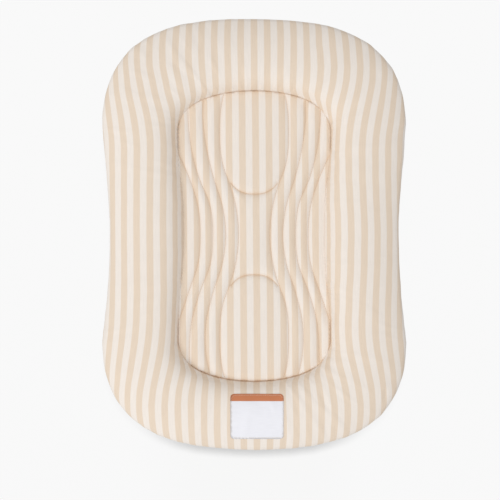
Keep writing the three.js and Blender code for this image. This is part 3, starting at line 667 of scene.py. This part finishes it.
# Stripes: the cloth's own coordinate across them, relaxed over the whole plan
grain = {
    "cell": 4.0, "span": (620.0, 860.0), "rounds": 900, "closeEnough": 1e-4,
    "shear": 0.08,  # how stiff the weave is against shear, next to stretch
    "padTakeUp": 0.034,  # the pad's cloth is this much wider than the pad
    "mostStretch": 4.0,
    "offset": 2.0, "tilt": -0.0078,  # the stripes run a little askew
    "padOffset": -2.0,  # the pad's own cloth lies this far beside the ring's
    "creaseTakeUp": 1.5, "creaseHalf": 1.5,  # cloth lost in each sewn crease, beyond what its depth takes
    # how far the ring's cloth was eased over by hand, on its left and right flank
    "easeAt": (-340, -314, -290, -266, -242, -218, -194, -170, -146, -98, -51, 0, 45, 93, 141, 165, 213, 237,
               260, 284, 308, 332),
    "easeLeft": (-2.5, -1.0, 0.3, 0, -1.2, -1.5, -2.4, -3.7, -4.6, -5.4, -5.1, -5.6, -5.5, -6.5, -8, -8, -5.6,
                 -4.1, -3.4, -0.7, -0.8, -2.6),
    "easeRight": (3.9, 2.5, 1.7, 2.7, 3.7, 4.4, 5.8, 6.4, 5.6, 3.3, 0.4, -0.1, 0.5, 2.5, 3.1, 2.7, 0, -0.9,
                  -2.2, -2, 0.3, 4.1),
    "easeFrom": (60.0, 125.0),
    "steepFrom": (0.2, 0.9),  # at the two ends the stripes run straight down the inner wall
}


# Solves for the cloth coordinate that keeps arc length across the stripes and shears least
def relaxCloth(surface):
    g = grain["cell"]
    nx, ny = (int(size / g) for size in grain["span"])
    xs, ys = (np.arange(nx + 1) - nx / 2) * g, (np.arange(ny + 1) - ny / 2) * g
    plan = np.stack(np.meshgrid(xs, ys), axis=2)
    height, inPad = np.maximum(heightsAt(surface, plan), section["edge"]), isInside(plan, raysOf(2)["start"])
    height[inPad] = section["seam"]
    outside = np.isnan(height)
    height[outside] = section["edge"]
    stretch = np.sqrt(1 + (np.diff(height, axis=1) / g) ** 2)
    stretch[inPad[:, :-1] & inPad[:, 1:]] = 1 + grain["padTakeUp"]
    stretch = np.minimum(stretch, grain["mostStretch"])
    stretch[outside[:, :-1] | outside[:, 1:]] = 1

    # what each cell pulls on its two neighbours, across and along the stripes
    def pull(across, along=0.0):
        out = np.zeros_like(height)
        out[:, 1:] += across
        out[:, :-1] -= across
        out[1:] += along
        out[:-1] -= along
        return out

    # least squares for d = u - x: d changes by the stretch across each cell, and little along the stripes
    d, r = np.zeros_like(height), pull((stretch - 1) * g)
    p, old = r.copy(), (r * r).sum()
    for _ in range(grain["rounds"]):
        ap = pull(np.diff(p, axis=1), np.diff(p, axis=0) * grain["shear"])
        alpha = old / (p * ap).sum()
        d += alpha * p
        r -= alpha * ap
        new = (r * r).sum()
        if new < grain["closeEnough"]:
            break
        p, old = r + new / old * p, new
    return xs, ys, d - d[:, nx // 2 - 2:nx // 2 + 3].mean(axis=1, keepdims=True)


ringSurface = surfaceOf(ringLoops.reshape(-1, 3), ringFaces)
gridX, gridY, clothShift = relaxCloth(ringSurface)
print("stripes relaxed")


def straightGrain(x, y):
    return x - grain["offset"] - grain["tilt"] * y


# How the ring's cloth was eased over by hand, beyond what it relaxes to
def eased(x, y):
    left, right = (np.interp(y, grain["easeAt"], grain[side]) for side in ("easeLeft", "easeRight"))
    return np.where(x < 0, left, right) * smoothStep(np.abs(x), *grain["easeFrom"])


# Cloth coordinates of the ring: from the plan over its top, and by arc length down its steep sides
def ringCloth():
    r = ring
    first, last = r["planLoops"]
    u, v = np.zeros(ringLoops.shape[:2]), np.zeros(ringLoops.shape[:2])
    x, y = ringLoops[:, :, 0], ringLoops[:, :, 1]
    direction = rays["direction"]
    top = slice(first, last)
    u[top] = (straightGrain(x[top], y[top]) + sampleGrid(gridX, gridY, clothShift, x[top], y[top])
              + eased(x[top], y[top]))
    v[top] = y[top]
    for j in range(last, len(ringLoops)):
        run = ringArc[j] - ringArc[j - 1]
        u[j] = u[j - 1] + run * direction[:, 0]
        v[j] = v[j - 1] + run * direction[:, 1]
    steep = smoothStep(np.abs(direction[:, 0]), *grain["steepFrom"])
    for j in range(first - 1, -1, -1):
        run = ringArc[j + 1] - ringArc[j]
        flat = x[j + 1] - x[j]
        u[j] = u[j + 1] - flat - (run * direction[:, 0] - flat) * steep
        v[j] = v[j + 1] - run * direction[:, 1]
    # painted shade: along the pad's seam, along the right flank under the ring's overhang, and along its lowest
    # edge where the base is sewn on
    inner = np.maximum(ringArc, 0)
    width = r["seamWidth"] * np.where(y < 0, r["footWider"], 1.0)
    onRight = (rays["start"][:, 0] > r["rightFrom"]) * (1 - smoothStep(np.abs(y), *r["rightEnds"]))
    seam = nearness(inner, width) * paintedSeamShadeAt(y)
    seam += r["rightPaintedShade"] * onRight * nearness(inner, r["rightWidth"])
    low = np.exp(-(ringArc[-1] - ringArc) / r["lowWidth"]) * r["lowPaintedShade"]
    return np.maximum(seam, low).ravel(), (u.ravel(), v.ravel())


bolster = addPiece("cover_bolster", ringLoops.reshape(-1, 3), ringFaces, stripedCotton, "striped_cotton",
                   "cover_bolster_panel", *ringCloth())
print("ring of the cover built")

# Quilted centre panel
quilt = {
    "fine": 8,  # times as many points round its outline as the CAD has
    "spacing": 3.0, "lineSpacing": 2.4, "rimSpacing": 2.7, "gap": 1.65,  # between the points of its net
    "crown": 6.0, "crownFade": 14.0,
    "rimInset": 0.05, "creaseDepth": 5.6, "creaseFade": 6.5, "creaseFromRim": 6.0,
    "rimDrop": 0.6, "rimFade": 2.5, "rimRoom": 0.4,
    # painted shade in its creases and at the ovals' tips, and on its hidden rim and backing
    "creasePaintedShade": 0.25, "tipPaintedShade": 0.42, "creaseWidth": 1.3, "beside": (1.3, 2.8), "underPaintedShade": 0.4,
    "flankFillet": (4.0, 0.5), "filletReach": 3.2,  # how far its left and right rim rise towards the ring
    # contour lines: half widths at the stations, as shares of the pad's waist and half length
    "stations": (1, .8, .6, .4, .2, 0, -.2, -.4, -.6, -.8, -1),
    "contours": ((1.6, 1.36, 1.12, .926, .796, .76, .794, .929, 1.07, 1.25, 1.5),
                 (.93, .932, .891, .786, .624, .583, .62, .77, .882, .915, .905),
                 (.71, .724, .675, .579, .452, .402, .451, .582, .678, .684, .61)),
    "neckHalfWidth": 26.9, "neckJoin": 97.0, "neckJoinHalfWidth": 46.0, "tipOverlap": 9.0, "joinOver": 9,
    "ovalHalfWidth": 59.0, "ovalHalfLength": 108.0, "ovalCentre": 177.0, "ovalPower": 2.5, "tipPoints": 40,
    "clothSteps": 14, "pressure": 1.0, "mostMove": 1.2, "pinned": 0.5,
    "cell": 1.5, "halfSpan": (140.0, 258.0), "evenOver": 7,  # grid on which its stripes are laid
    "pathSpacing": 1.5, "stitchLift": 0.1, "stitch": {"length": 2.6, "gap": 0.8, "radius": 0.28},
}
cloth = {"quality": 6, "mass": 0.3, "tension_stiffness": 25, "compression_stiffness": 25,
         "bending_stiffness": 0.8, "use_pressure": True, "uniform_pressure_force": quilt["pressure"]}


def ovalHalf(y, centre):
    t = np.abs(y - centre) / quilt["ovalHalfLength"]
    n = quilt["ovalPower"]
    return quilt["ovalHalfWidth"] * np.maximum(0, 1 - np.minimum(t, 1) ** n) ** (1 / n)


# A sewn line's offset at y, through its stations with smooth slopes
def alongStations(values, y):
    at = np.array(quilt["stations"]) * ((pad["headEnd"] + pad["footEnd"]) / 2)
    values = np.array(values) * pad["waistHalfWidth"]
    slope = np.gradient(values, at)
    k = np.clip(len(at) - 2 - (np.searchsorted(at[::-1], y) - 1), 0, len(at) - 2)
    w = at[k + 1] - at[k]
    t = (y - at[k]) / w
    return ((2 * t ** 3 - 3 * t ** 2 + 1) * values[k] + (t ** 3 - 2 * t ** 2 + t) * w * slope[k]
            + (-2 * t ** 3 + 3 * t ** 2) * values[k + 1] + (t ** 3 - t ** 2) * w * slope[k + 1])


# The quilting lines in plan: contour lines, neck lines and the two ovals' tips, clipped to the pad
def sewnLines():
    q = quilt
    half = halfOutline(pad, q["fine"], q["rimInset"])
    y = np.arange(half[0, 1] - q["rimRoom"], half[-1, 1] + q["rimRoom"], -1.0)
    neck = q["neckHalfWidth"] + (q["neckJoinHalfWidth"] - q["neckHalfWidth"]) * (y / q["neckJoin"]) ** 2
    oval = np.maximum(ovalHalf(y, q["ovalCentre"]), ovalHalf(y, -q["ovalCentre"]))
    body = smoothed(np.where(np.abs(y) < q["neckJoin"], neck, oval), q["joinOver"])
    rim = np.interp(-y, -half[:, 1], half[:, 0])
    lines = []
    for x in [alongStations(values, y) for values in q["contours"]] + [body]:
        keep = x < rim - q["rimRoom"]
        line = respaced(np.column_stack([x[keep], y[keep]]), q["lineSpacing"])
        lines += [line, line * (-1, 1)]
    tip = q["ovalCentre"] - q["ovalHalfLength"]
    ty = np.concatenate([np.linspace(q["neckJoin"] - q["tipOverlap"], tip, q["tipPoints"])[:-1], [tip]])
    tx = ovalHalf(ty, q["ovalCentre"])
    tipLine = np.concatenate([np.column_stack([tx, ty]), np.column_stack([-tx, ty])[::-1][1:]])
    tips = [respaced(tipLine, q["lineSpacing"]) * (1, end) for end in (1, -1)]
    return lines, tips, half


def buildQuilt():
    q = quilt
    long, tips, half = sewnLines()
    lines = long + tips
    rimLoop = respaced(closed(wholeOutline(half)), q["rimSpacing"])[:-1]
    verts, faces = netIn(rimLoop, lines, q["spacing"], q["gap"], q["beside"])
    toLine, toRim = distanceTo(lines, verts), distanceTo([closed(rimLoop)], verts)
    crown = section["seam"] + q["crown"] * (1 - np.exp(-toRim / q["crownFade"]))
    relief = q["creaseDepth"] * np.exp(-toLine / q["creaseFade"]) * (1 - np.exp(-toRim / q["creaseFromRim"]))
    shows = seamShows(verts[:, 1])
    z = crown - relief - q["rimDrop"] * shows * np.exp(-toRim / q["rimFade"])
    fillet = np.where(verts[:, 0] < 0, *q["flankFillet"])
    z += fillet * (1 - np.minimum(1, 2 * shows)) * np.exp(-toRim / q["filletReach"])
    return np.column_stack([verts, z]), faces, toLine, toRim, long, tips, rimLoop


quiltTop, quiltFaces, toLine, toRim, longLines, tipLines, quiltRim = buildQuilt()
quiltPlan = quiltTop[:, :2].copy()
print("quilted panel netted", len(quiltPlan))


# Lets air pressure swell the panel between its stitches, with cloth that is pinned along them
def pillow(verts, faces):
    work = addObject("quiltCloth", meshOf("quiltCloth", verts, faces))
    pins = work.vertex_groups.new(name="stitches")
    pins.add([int(i) for i in np.nonzero(np.minimum(toLine, toRim) < quilt["pinned"])[0]], 1.0, "REPLACE")
    swelling = work.modifiers.new("cloth", "CLOTH")
    swelling.settings.vertex_group_mass = "stitches"
    for name, value in cloth.items():
        setattr(swelling.settings, name, value)
    swelling.settings.effector_weights.gravity = 0
    swelling.collision_settings.use_collision = False
    swelling.point_cache.frame_end = quilt["clothSteps"] + 1
    for step in range(1, quilt["clothSteps"] + 1):
        bpy.context.scene.frame_set(step)
    done = work.evaluated_get(bpy.context.evaluated_depsgraph_get())
    swollen = np.empty(len(verts) * 3)
    done.data.vertices.foreach_get("co", swollen)
    bpy.data.objects.remove(work)
    bpy.context.scene.frame_set(1)
    move = swollen.reshape(-1, 3) / mm - verts
    size = np.linalg.norm(move, axis=1, keepdims=True)
    print("swelling: mean move %.2f mm, most %.2f mm" % (size.mean(), size.max()))
    return verts + move * np.minimum(1, quilt["mostMove"] / np.maximum(size, 1e-9))


quiltTop = pillow(quiltTop, quiltFaces)
quiltNet = surfaceOf(quiltTop, quiltFaces)


# Cloth coordinates of the panel: arc length across its relief, row by row
def quiltCloth(x, y):
    q, step = quilt, quilt["cell"]
    xs, ys = (np.arange(-half, half + 0.1, step) for half in q["halfSpan"])
    height = heightsAt(quiltNet, np.stack(np.meshgrid(xs, ys), axis=2))
    height[np.isnan(height)] = section["seam"]
    run = np.sqrt(step ** 2 + np.diff(height, axis=1) ** 2)
    arc = np.concatenate([np.zeros((len(ys), 1)), np.cumsum(run, axis=1)], axis=1)
    arc -= arc[:, [len(xs) // 2]]
    shift = np.apply_along_axis(smoothed, 0, arc - xs, q["evenOver"])
    lost = np.zeros(len(x))
    for line in longLines:  # the ovals' tips take up nothing across the stripes
        order = np.argsort(line[:, 1])
        at = np.interp(y, line[order, 1], line[order, 0], left=0, right=0)
        beyond = smoothStep(np.sign(at) * (x - at), -grain["creaseHalf"], grain["creaseHalf"])
        lost += np.sign(at) * grain["creaseTakeUp"] * beyond
    across = straightGrain(x, y) + sampleGrid(xs, ys, shift, x, y) + (lost + grain["padOffset"])
    # painted shade in its creases and at the ovals' tips, along its seam with the ring, and on its rim and
    # backing
    width = q["creaseWidth"]
    shades = [nearness(toLine, width) * q["creasePaintedShade"],
              nearness(distanceTo(tipLines, quiltPlan), width) * q["tipPaintedShade"],
              nearness(toRim, ring["seamWidth"]) * paintedSeamShadeAt(quiltPlan[:, 1])]
    return across, np.concatenate([np.max(shades, axis=0), np.full(len(x) - len(toRim), q["underPaintedShade"])])


# Closes the panel with its rim and its flat backing, and lays the stripes along its relief
def finishQuilt():
    rim = numbersOf(quiltRim, quiltPlan)
    low = quiltTop[rim].copy()
    low[:, 2] = section["seam"] - layers["quiltBacking"]
    start = len(quiltTop)
    verts = np.concatenate([quiltTop, low])
    faces = quiltFaces + skirtFaces(rim, start) + capOf([start + i for i in range(len(rim))])
    across, shade = quiltCloth(verts[:, 0], verts[:, 1])
    panel = addPiece("cover_centre", verts, faces, stripedCotton, "striped_cotton", "cover_centre_panel", shade,
                     (across, verts[:, 1]))


finishQuilt()
print("centre panel built")

# Stitches, each a short bowed tube that dips into the cloth at both ends
stitchShape = {"share": (0.0, 0.12, 0.5, 0.88, 1.0), "thick": (0.35, 1.0, 1.0, 1.0, 0.35),
               "sink": (1.3, 0.5, 0.0, 0.5, 1.3), "sides": 5}


def addStitches(name, paths, size, material, slot, up=(0, 0, 1)):
    share, thick, sink = (np.array(stitchShape[k]) for k in ("share", "thick", "sink"))
    rows, sides = len(share), stitchShape["sides"]
    thick, sink = thick * size["radius"], -sink * size["radius"]
    around = np.arange(sides) / sides * 2 * math.pi
    up = np.array(up, float)
    verts, faces = [], []
    for path in paths:
        run = lengthsAlong(path)
        pitch = size["length"] + size["gap"]
        count = int(run[-1] // pitch)
        begin = (run[-1] - count * pitch + size["gap"]) / 2
        for n in range(count):
            at = begin + n * pitch + share * size["length"]
            centre = pointsAlong(path, run, at)
            side = unit(np.cross(unit(centre[-1] - centre[0]), up))
            centre = centre + up * sink[:, None]
            rings = (centre[:, None, :] + thick[:, None, None]
                     * (np.cos(around)[None, :, None] * side + np.sin(around)[None, :, None] * up))
            faces += tubeFaces(rows, sides, len(verts) * rows * sides)
            verts.append(rings.reshape(-1, 3))
    addPiece(name, np.concatenate(verts), faces, material, slot)


quiltPaths = [onSurface(quiltNet, respaced(line, quilt["pathSpacing"]), quilt["stitchLift"])
              for line in longLines + tipLines]
addStitches("quilt_stitches", quiltPaths, quilt["stitch"], seamThread, "striped_cotton")
print("quilting stitched")


# Sewn patch, left blank
def buildPatch():
    p = patch
    low = -cover["footEnd"] + p["fromFoot"]
    halfWide, halfLong, r = p["width"] / 2, p["length"] / 2, p["corner"]
    middle = np.array([p["centreX"], low + halfLong])
    loop = []
    for quarter, (sx, sy) in enumerate([(1, 1), (-1, 1), (-1, -1), (1, -1)]):
        a = np.arange(p["cornerSteps"] + 1) / p["cornerSteps"] * math.pi / 2 + quarter * math.pi / 2
        x, y = sx * (halfWide - r) + r * np.cos(a), sy * (halfLong - r) + r * np.sin(a)
        loop.append(np.column_stack([x, y]))
    loop = respaced(closed(np.concatenate(loop)), p["rimSpacing"])[:-1] + middle
    plan, faces = netIn(loop, [], p["netSpacing"], p["netGap"])
    inset = distanceTo([closed(loop)], plan, 0.5)
    lift = layers["clearance"] + p["thickness"]
    top = onSurface(ringSurface, plan, lift)
    wave = noiseAt(top[:, 0] / p["sagSize"][0], top[:, 1] / p["sagSize"][1], 4.0)
    top[:, 2] += p["sag"] * wave * np.minimum(1, inset / p["sagFrom"])
    rim = numbersOf(loop, plan)
    every = np.concatenate([top, top[rim] - (0, 0, p["thickness"])])
    # painted shade near its edge and on its sides
    shade = np.exp(-inset / p["edgeReach"]) * p["edgePaintedShade"]
    shade = np.concatenate([shade, np.full(len(rim), p["underPaintedShade"])])
    piece = addPiece("sewn_patch_cloth", every, faces + skirtFaces(rim, len(top)), patchSatin, "patch_cloth",
                     "sewn_patch", shade, (every[:, 0] - middle[0] + halfWide, every[:, 1] - low))
    scale = 1 - p["stitchIn"] / np.array([halfWide, halfLong])
    seamLine = respaced(closed(loop) * scale + middle * (1 - scale), p["rimSpacing"])
    seamPath = onSurface(ringSurface, seamLine, lift + p["stitchLift"])
    addStitches("patch_stitches", [seamPath], p["stitch"], paleThread, "patch_cloth")


buildPatch()
print("patch sewn on")

# Base of the cover, and its zip
base = {
    "fine": 4, "sideLoops": 10, "recessLoops": 9, "slot": 5.49, "slotEnd": 210.3, "slit": 0.15,
    "hemRadius": 0.8, "hemWidth": 2.6, "hemOut": 0.9, "hemLift": 0.8, "hemSides": 10, "hemSpacing": 3.0,
    "netSpacing": 8.0, "slotSpacing": 4.0, "netGap": 3.0, "netSpan": (135.0, 250.0),
    "slotRoom": 4.0, "endRoom": 2.0, "endShare": 0.8, "stitchLow": 0.1,
    "flat": (0.257, 0.733), "flatArea": 0.165,  # in metres, and square metres
    "sag": 0.35, "sagSize": 40.0, "sagFrom": 30.0,
    # the two panels turn in where they are sewn together, beyond the zip
    "besideSeam": (1.3, 2.8), "besideShares": (0, 0.3, 0.65), "seamRoll": 0.4, "seamReach": 1.4,
    # painted shade round the zip's opening, along the ring's edge and in the seam between the two panels
    "slotPaintedShade": 0.3, "edgePaintedShade": 0.5, "seamPaintedShade": 0.45, "shadeReach": 2.0,
    "stitchOut": (3.2, 8.6), "stitch": {"length": 2.8, "gap": 0.9, "radius": 0.28},
}
zipper = {"tapeInner": 3.8, "tapeWidth": 11.0, "tapeHalf": 222.0, "tapeLow": 10.9, "tapeThickness": 0.8,
          "wave": 0.12, "waveSize": (6.0, 16.0), "ridges": (0, .5, 0, 0, 0, 0, 0, .5, 0), "rows": 149}


# Right panel's loops from the ring's edge inwards, each from the head end to the foot end
def baseLoops():
    b, s, spokes = base, section, raysOf(base["fine"])
    first, last = s["baseSeam"] + s["baseGap"], b["sideLoops"] - 1
    stops = [first + (1 - first) * k / last for k in range(last + 1)]
    loops = underLoops(spokes, stops, b["recessLoops"], s["baseLift"])
    loops = np.array(loops + [ringPoints(spokes, 0.0, s["baseLift"])])[:, :len(spokes["width"]) // 2 + 1]
    loops[:, 0, 0] = loops[:, -1, 0] = b["slit"]
    more = lambda end, inner: np.stack([end + (inner - end) * share for share in b["besideShares"]], axis=1)
    return np.concatenate([more(loops[:, 0], loops[:, 1]), loops[:, 1:-1],
                           more(loops[:, -1], loops[:, -2])[:, ::-1]], axis=1)


# Folded hem along the opening
def buildHem(side, name):
    b = base
    x, y = b["slot"] + b["hemOut"], b["slotEnd"] + b["hemOut"]
    line = np.array([(b["slit"], -y), (x, -y), (x, y), (b["slit"], y)])
    runs = [respaced(line[k:k + 2], b["hemSpacing"])[:-1] for k in range(3)]
    line = np.concatenate(runs + [line[-1:]]) * (side, 1)
    around = np.arange(b["hemSides"]) / b["hemSides"] * 2 * math.pi
    plan = line[:, None, :] + sideways(line)[:, None, :] * (np.cos(around) * b["hemWidth"] / 2)[None, :, None]
    height = section["baseLift"] + b["hemLift"] + np.sin(around) * b["hemRadius"]
    rings = np.dstack([plan, np.broadcast_to(height, plan.shape[:2])]).reshape(-1, 3)
    addPiece("base_hem_" + name, rings, tubeFaces(len(line), b["hemSides"]), baseTwill, "base_cotton", seam=0.1)


def buildBase(side, name):
    b, lift = base, section["baseLift"]
    loops = baseLoops()
    slit, slot, end = b["slit"], b["slot"], b["slotEnd"]
    corners = np.array([(slit, -end), (slot, -end), (slot, end), (slit, end)])
    slotLine = np.concatenate([corners[:1], respaced(corners[1:3], b["slotSpacing"]), corners[3:]])
    flat = lambda line: np.column_stack([line, np.full(len(line), lift)])
    rim = np.concatenate([loops[0], loops[1:, -1], flat(slotLine), loops[:0:-1, 0]])
    seamLoop = np.concatenate([loops[-1][:, :2], slotLine])
    wide, long = b["netSpan"]
    cloud = np.array([(x, y) for y in np.arange(-long, long, b["netSpacing"])
                      for x in np.arange(slot + b["slotRoom"], wide, b["netSpacing"])])
    cloud = cloud[isInside(cloud, seamLoop)]
    cloud = cloud[nearestDistance(cloud, seamLoop) > b["netGap"]]
    beyondSlot = np.concatenate([np.arange(low + b["netGap"], high - b["endRoom"], b["slotSpacing"])
                                 for low, high in ((end, loops[-1, 0, 1]), (loops[-1, -1, 1], -end))])
    cloud = np.concatenate([cloud, [(x, y) for x in b["besideSeam"] for y in beyondSlot]])
    every = np.concatenate([rim, loops[1:, 1:-1].reshape(-1, 3), flat(cloud)])
    made = delaunay_2d_cdt(every[:, :2].tolist(), edgesRound(len(rim)), [], 1, 0.01)
    verts = np.array([every[origin[0]] if origin else (*v, lift) for v, origin in zip(made[0], made[3])])
    x, y, z = verts.T
    # a cloth that lies loose is never quite flat, and the two panels turn in where they are sewn together
    wave = noiseAt(x / b["sagSize"], y / b["sagSize"], 2.0 + side) * np.minimum(1, np.abs(x) / b["sagFrom"])
    rolled = np.exp(-x / b["seamReach"])
    verts[:, 2] += b["sag"] * wave * (z > lift - 0.01) + b["seamRoll"] * rolled
    # painted shade round the opening, in the seam between the panels and along the ring's edge
    toSlot = np.hypot(np.maximum(0, x - slot), np.maximum(0, np.abs(y) - end))
    toEdge = nearestDistance(verts[:, :2], loops[0][:, :2])
    shades = [np.exp(-toSlot / b["shadeReach"]) * b["slotPaintedShade"], rolled * b["seamPaintedShade"],
              np.exp(-toEdge / b["shadeReach"]) * b["edgePaintedShade"]]
    # seen from above the net's faces turn left, so the right panel's are turned over to face down
    faces = [face[::-side] for face in made[2]]
    piece = addPiece("base_panel_" + name, verts * (side, 1, 1), faces, baseTwill, "base_cotton",
                     "cover_base_" + name, np.max(shades, axis=0))
    buildHem(side, name)


def buildTape(side, name):
    z = zipper
    x, y = np.meshgrid(side * (z["tapeInner"] + np.linspace(0, z["tapeWidth"], len(z["ridges"]))),
                       np.linspace(-z["tapeHalf"], z["tapeHalf"], z["rows"]))
    # uneven, with two woven ridges
    wave = z["wave"] * (noiseAt(x / z["waveSize"][0], y / z["waveSize"][1], 9.0) - z["ridges"])
    low = np.dstack([x, y, z["tapeLow"] + z["wave"] + wave])
    high = np.dstack([x, y, z["tapeLow"] + z["tapeThickness"] - z["wave"] + wave])
    rings = np.concatenate([low, high[:, ::-1]], axis=1)
    tape = addPiece("tape_" + name, rings.reshape(-1, 3), tubeFaces(*rings.shape[:2]), twillTape, "zip_tape",
                    "zip_tape_" + name, 0.0)


def finishZip():
    b, paths = base, []
    for out in b["stitchOut"]:
        x, y, z = b["slot"] + out, b["slotEnd"] + out * b["endShare"], section["baseLift"] - b["stitchLow"]
        for ends in (((x, -y), (x, y)), ((-x, -y), (-x, y)), ((-x, y), (x, y)), ((-x, -y), (x, -y))):
            paths.append(np.array([(*end, z) for end in ends]))
    addStitches("zip_topstitches", paths, b["stitch"], paleThread, "base_cotton", up=(0, 0, -1))
    metal = ("zip_stop_top_left", "zip_stop_top_right", "zip_stop_bottom", "zip_slider", "zip_pull")
    for names, material in ((("zip_teeth_left", "zip_teeth_right"), nylon), (metal, nickel)):
        for name in names:
            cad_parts[name].material_slots[0].material = material


sides = ((1, "right"), (-1, "left"))
for side, name in sides:
    buildBase(side, name)
for side, name in sides:
    buildTape(side, name)
finishZip()
print("base and zip built")

# The insert: liner, stuffing and foam
insert = {"fine": 3, "rows": (5, 6, 2, 4), "underStops": (0.8, 1.0), "recessLoops": 4, "middleShare": 0.8}


# A line along the middle, at which a flat sheet or block closes
def middleLoop(spokes, z):
    y = spokes["start"][:, 1]
    head, foot = y[1], y[len(y) // 2 - 1]
    return np.column_stack([0 * y, np.clip(y, foot, head) * insert["middleShare"], z + 0 * y])


def loftPiece(name, loops, material, slot, node, joined=False):
    loops = np.array(loops)
    rows, columns = loops.shape[:2]
    faces = gridFaces(rows, columns)
    if joined:
        faces += skirtFaces([(rows - 1) * columns + i for i in range(columns)], 0)
    return addPiece(name, loops.reshape(-1, 3), faces, material, slot, node, 0.0)


def buildInsert():
    c, gap, spokes = layers, layers["clearance"], raysOf(insert["fine"])
    step, outer = c["linerCloth"] + gap, c["coverCloth"] + gap
    fillIn, fillLow, fillHigh = outer + step, c["insertLift"] + step, c["insertTop"] - c["linerCloth"] - gap
    waddingTop, waddingLow = section["seam"] - c["quiltBacking"] - gap, c["insertTop"] + gap
    underStops = (section["baseSeam"] + section["baseGap"], *insert["underStops"])
    over = lambda inset: [sectionLoop(spokes, stop, inset) for stop in stopsOf(insert["rows"])]
    under = lambda inset, lift: underLoops(spokes, underStops, insert["recessLoops"], lift, inset)

    # a flat-topped block inside the pad's outline, its edge s beyond the seam
    def block(s, high, low):
        return [middleLoop(spokes, high), ringPoints(spokes, s, high), ringPoints(spokes, s, low),
                middleLoop(spokes, low)]

    linerOver = loftPiece("insert_liner_over", block(outer, c["insertTop"], 0)[:2] + over(outer), muslin,
                          "muslin", "insert_liner_top")
    linerUnder = loftPiece("insert_liner_under",
                           under(outer, c["insertLift"]) + [middleLoop(spokes, c["insertLift"])], muslin,
                           "muslin", "insert_liner_base")
    wall = loftPiece("insert_wall", block(outer, fillLow, fillHigh)[1:3], muslin, "muslin",
                     "insert_inner_wall")
    stuffed = over(fillIn) + under(fillIn, fillLow) + [ringPoints(spokes, fillIn, fillLow)]
    fill = loftPiece("bolster_stuffing", stuffed, fibre, "fibre", "bolster_fill", joined=True)
    core = loftPiece("pad_foam_block", block(c["coverCloth"], fillHigh, fillLow), foam, "foam", "pad_foam")
    wadding = loftPiece("quilt_wadding_layer", block(-gap, waddingTop, waddingLow), fibre, "fibre",
                        "quilt_wadding")


buildInsert()
print("insert built")


# Floor, camera and lights
def makeFloor():
    half, low = light["floorHalf"], light["floorLow"]
    corners = np.array([(-half, -half, low), (half, -half, low), (half, half, low), (-half, half, low)])
    floor = addObject("floor", meshOf("floor", corners, [(0, 1, 2, 3)]))
    material, tree, shader = startMaterial("PalePaperSweep", {
        "Roughness": 0.9, "Base Color": linear(light["floorShade"]), "Specular IOR Level": 0.0})
    glow = addNode(tree, "Emission", {"Color": linear(light["floorColour"]), "Strength": 1.0})
    geometry = addNode(tree, "NewGeometry", output="Position")
    place = addNode(tree, "SeparateXYZ", {0: geometry}).node.outputs
    steps = ((calculate(tree, "ABSOLUTE", place[0]), "shadowHalfWidth"), (place[1], "shadowFromHead"))
    beside, fromHead = (remap(tree, value, *(end * mm for end in light[ends]), kind="SMOOTHSTEP")
                        for value, ends in steps)
    atFoot = calculate(tree, "MULTIPLY", calculate(tree, "SUBTRACT", 1.0, beside), fromHead)
    least, most = light["floorGlow"]
    own = calculate(tree, "MULTIPLY_ADD", atFoot, least - most, most)
    lit = addNode(tree, "MixShader", {0: own, 1: shader.outputs[0], 2: glow})
    # only sight from above and reflections meet it; the room's light goes through it to the underside
    ray = addNode(tree, "LightPath").node.outputs
    seen = calculate(tree, "MAXIMUM", ray["Is Camera Ray"], ray["Is Glossy Ray"])
    above = calculate(tree, "SUBTRACT", 1.0, geometry.node.outputs["Backfacing"])
    either = addNode(tree, "MixShader", {0: calculate(tree, "MULTIPLY", seen, above),
                                         1: addNode(tree, "BsdfTransparent"), 2: lit})
    tree.links.new(either, tree.nodes["Material Output"].inputs["Surface"])
    floor.data.materials.append(material)
    return floor


def makeCamera():
    c = camera
    eye = addObject("camera", bpy.data.cameras.new("camera"))
    eye.location = (c["aimAt"][0] * mm, c["aimAt"][1] * mm, c["height"] * mm)
    eye.data.sensor_width = c["sensor"]
    eye.data.lens = c["sensor"] * (c["height"] - c["silhouetteHeight"]) / c["frameWidth"]
    bpy.context.scene.camera = eye


# A round soft lamp that lights the floor alone, or all but the floor
def addLamp(name, floor, onFloor):
    comesFrom, distance, size, power = light[name]
    lamp = addObject(name, bpy.data.lights.new(name, "AREA"))
    lamp.data.shape = "DISK"
    lamp.data.size = size * mm
    lamp.data.energy = power
    towards = Vector(comesFrom).normalized()
    lamp.location = towards * distance * mm
    lamp.rotation_mode = "QUATERNION"
    lamp.rotation_quaternion = towards.to_track_quat("Z", "Y")
    reached = bpy.data.collections.new(name + "Reach")
    reached.objects.link(floor)
    lamp.light_linking.receiver_collection = reached
    reached.collection_objects[0].light_linking.link_state = "INCLUDE" if onFloor else "EXCLUDE"


def makeLights(floor):
    addLamp("softKey", floor, False)
    addLamp("shadowLamp", floor, True)
    world = bpy.data.worlds.new("softRoom")
    world.use_nodes = True
    background = world.node_tree.nodes["Background"]
    background.inputs["Color"].default_value = (1, 1, 1, 1)
    background.inputs["Strength"].default_value = light["worldStrength"]
    bpy.context.scene.world = world
    bpy.context.scene.view_settings.view_transform = "Standard"


makeCamera()
makeLights(makeFloor())
print("floor, camera and lights set")
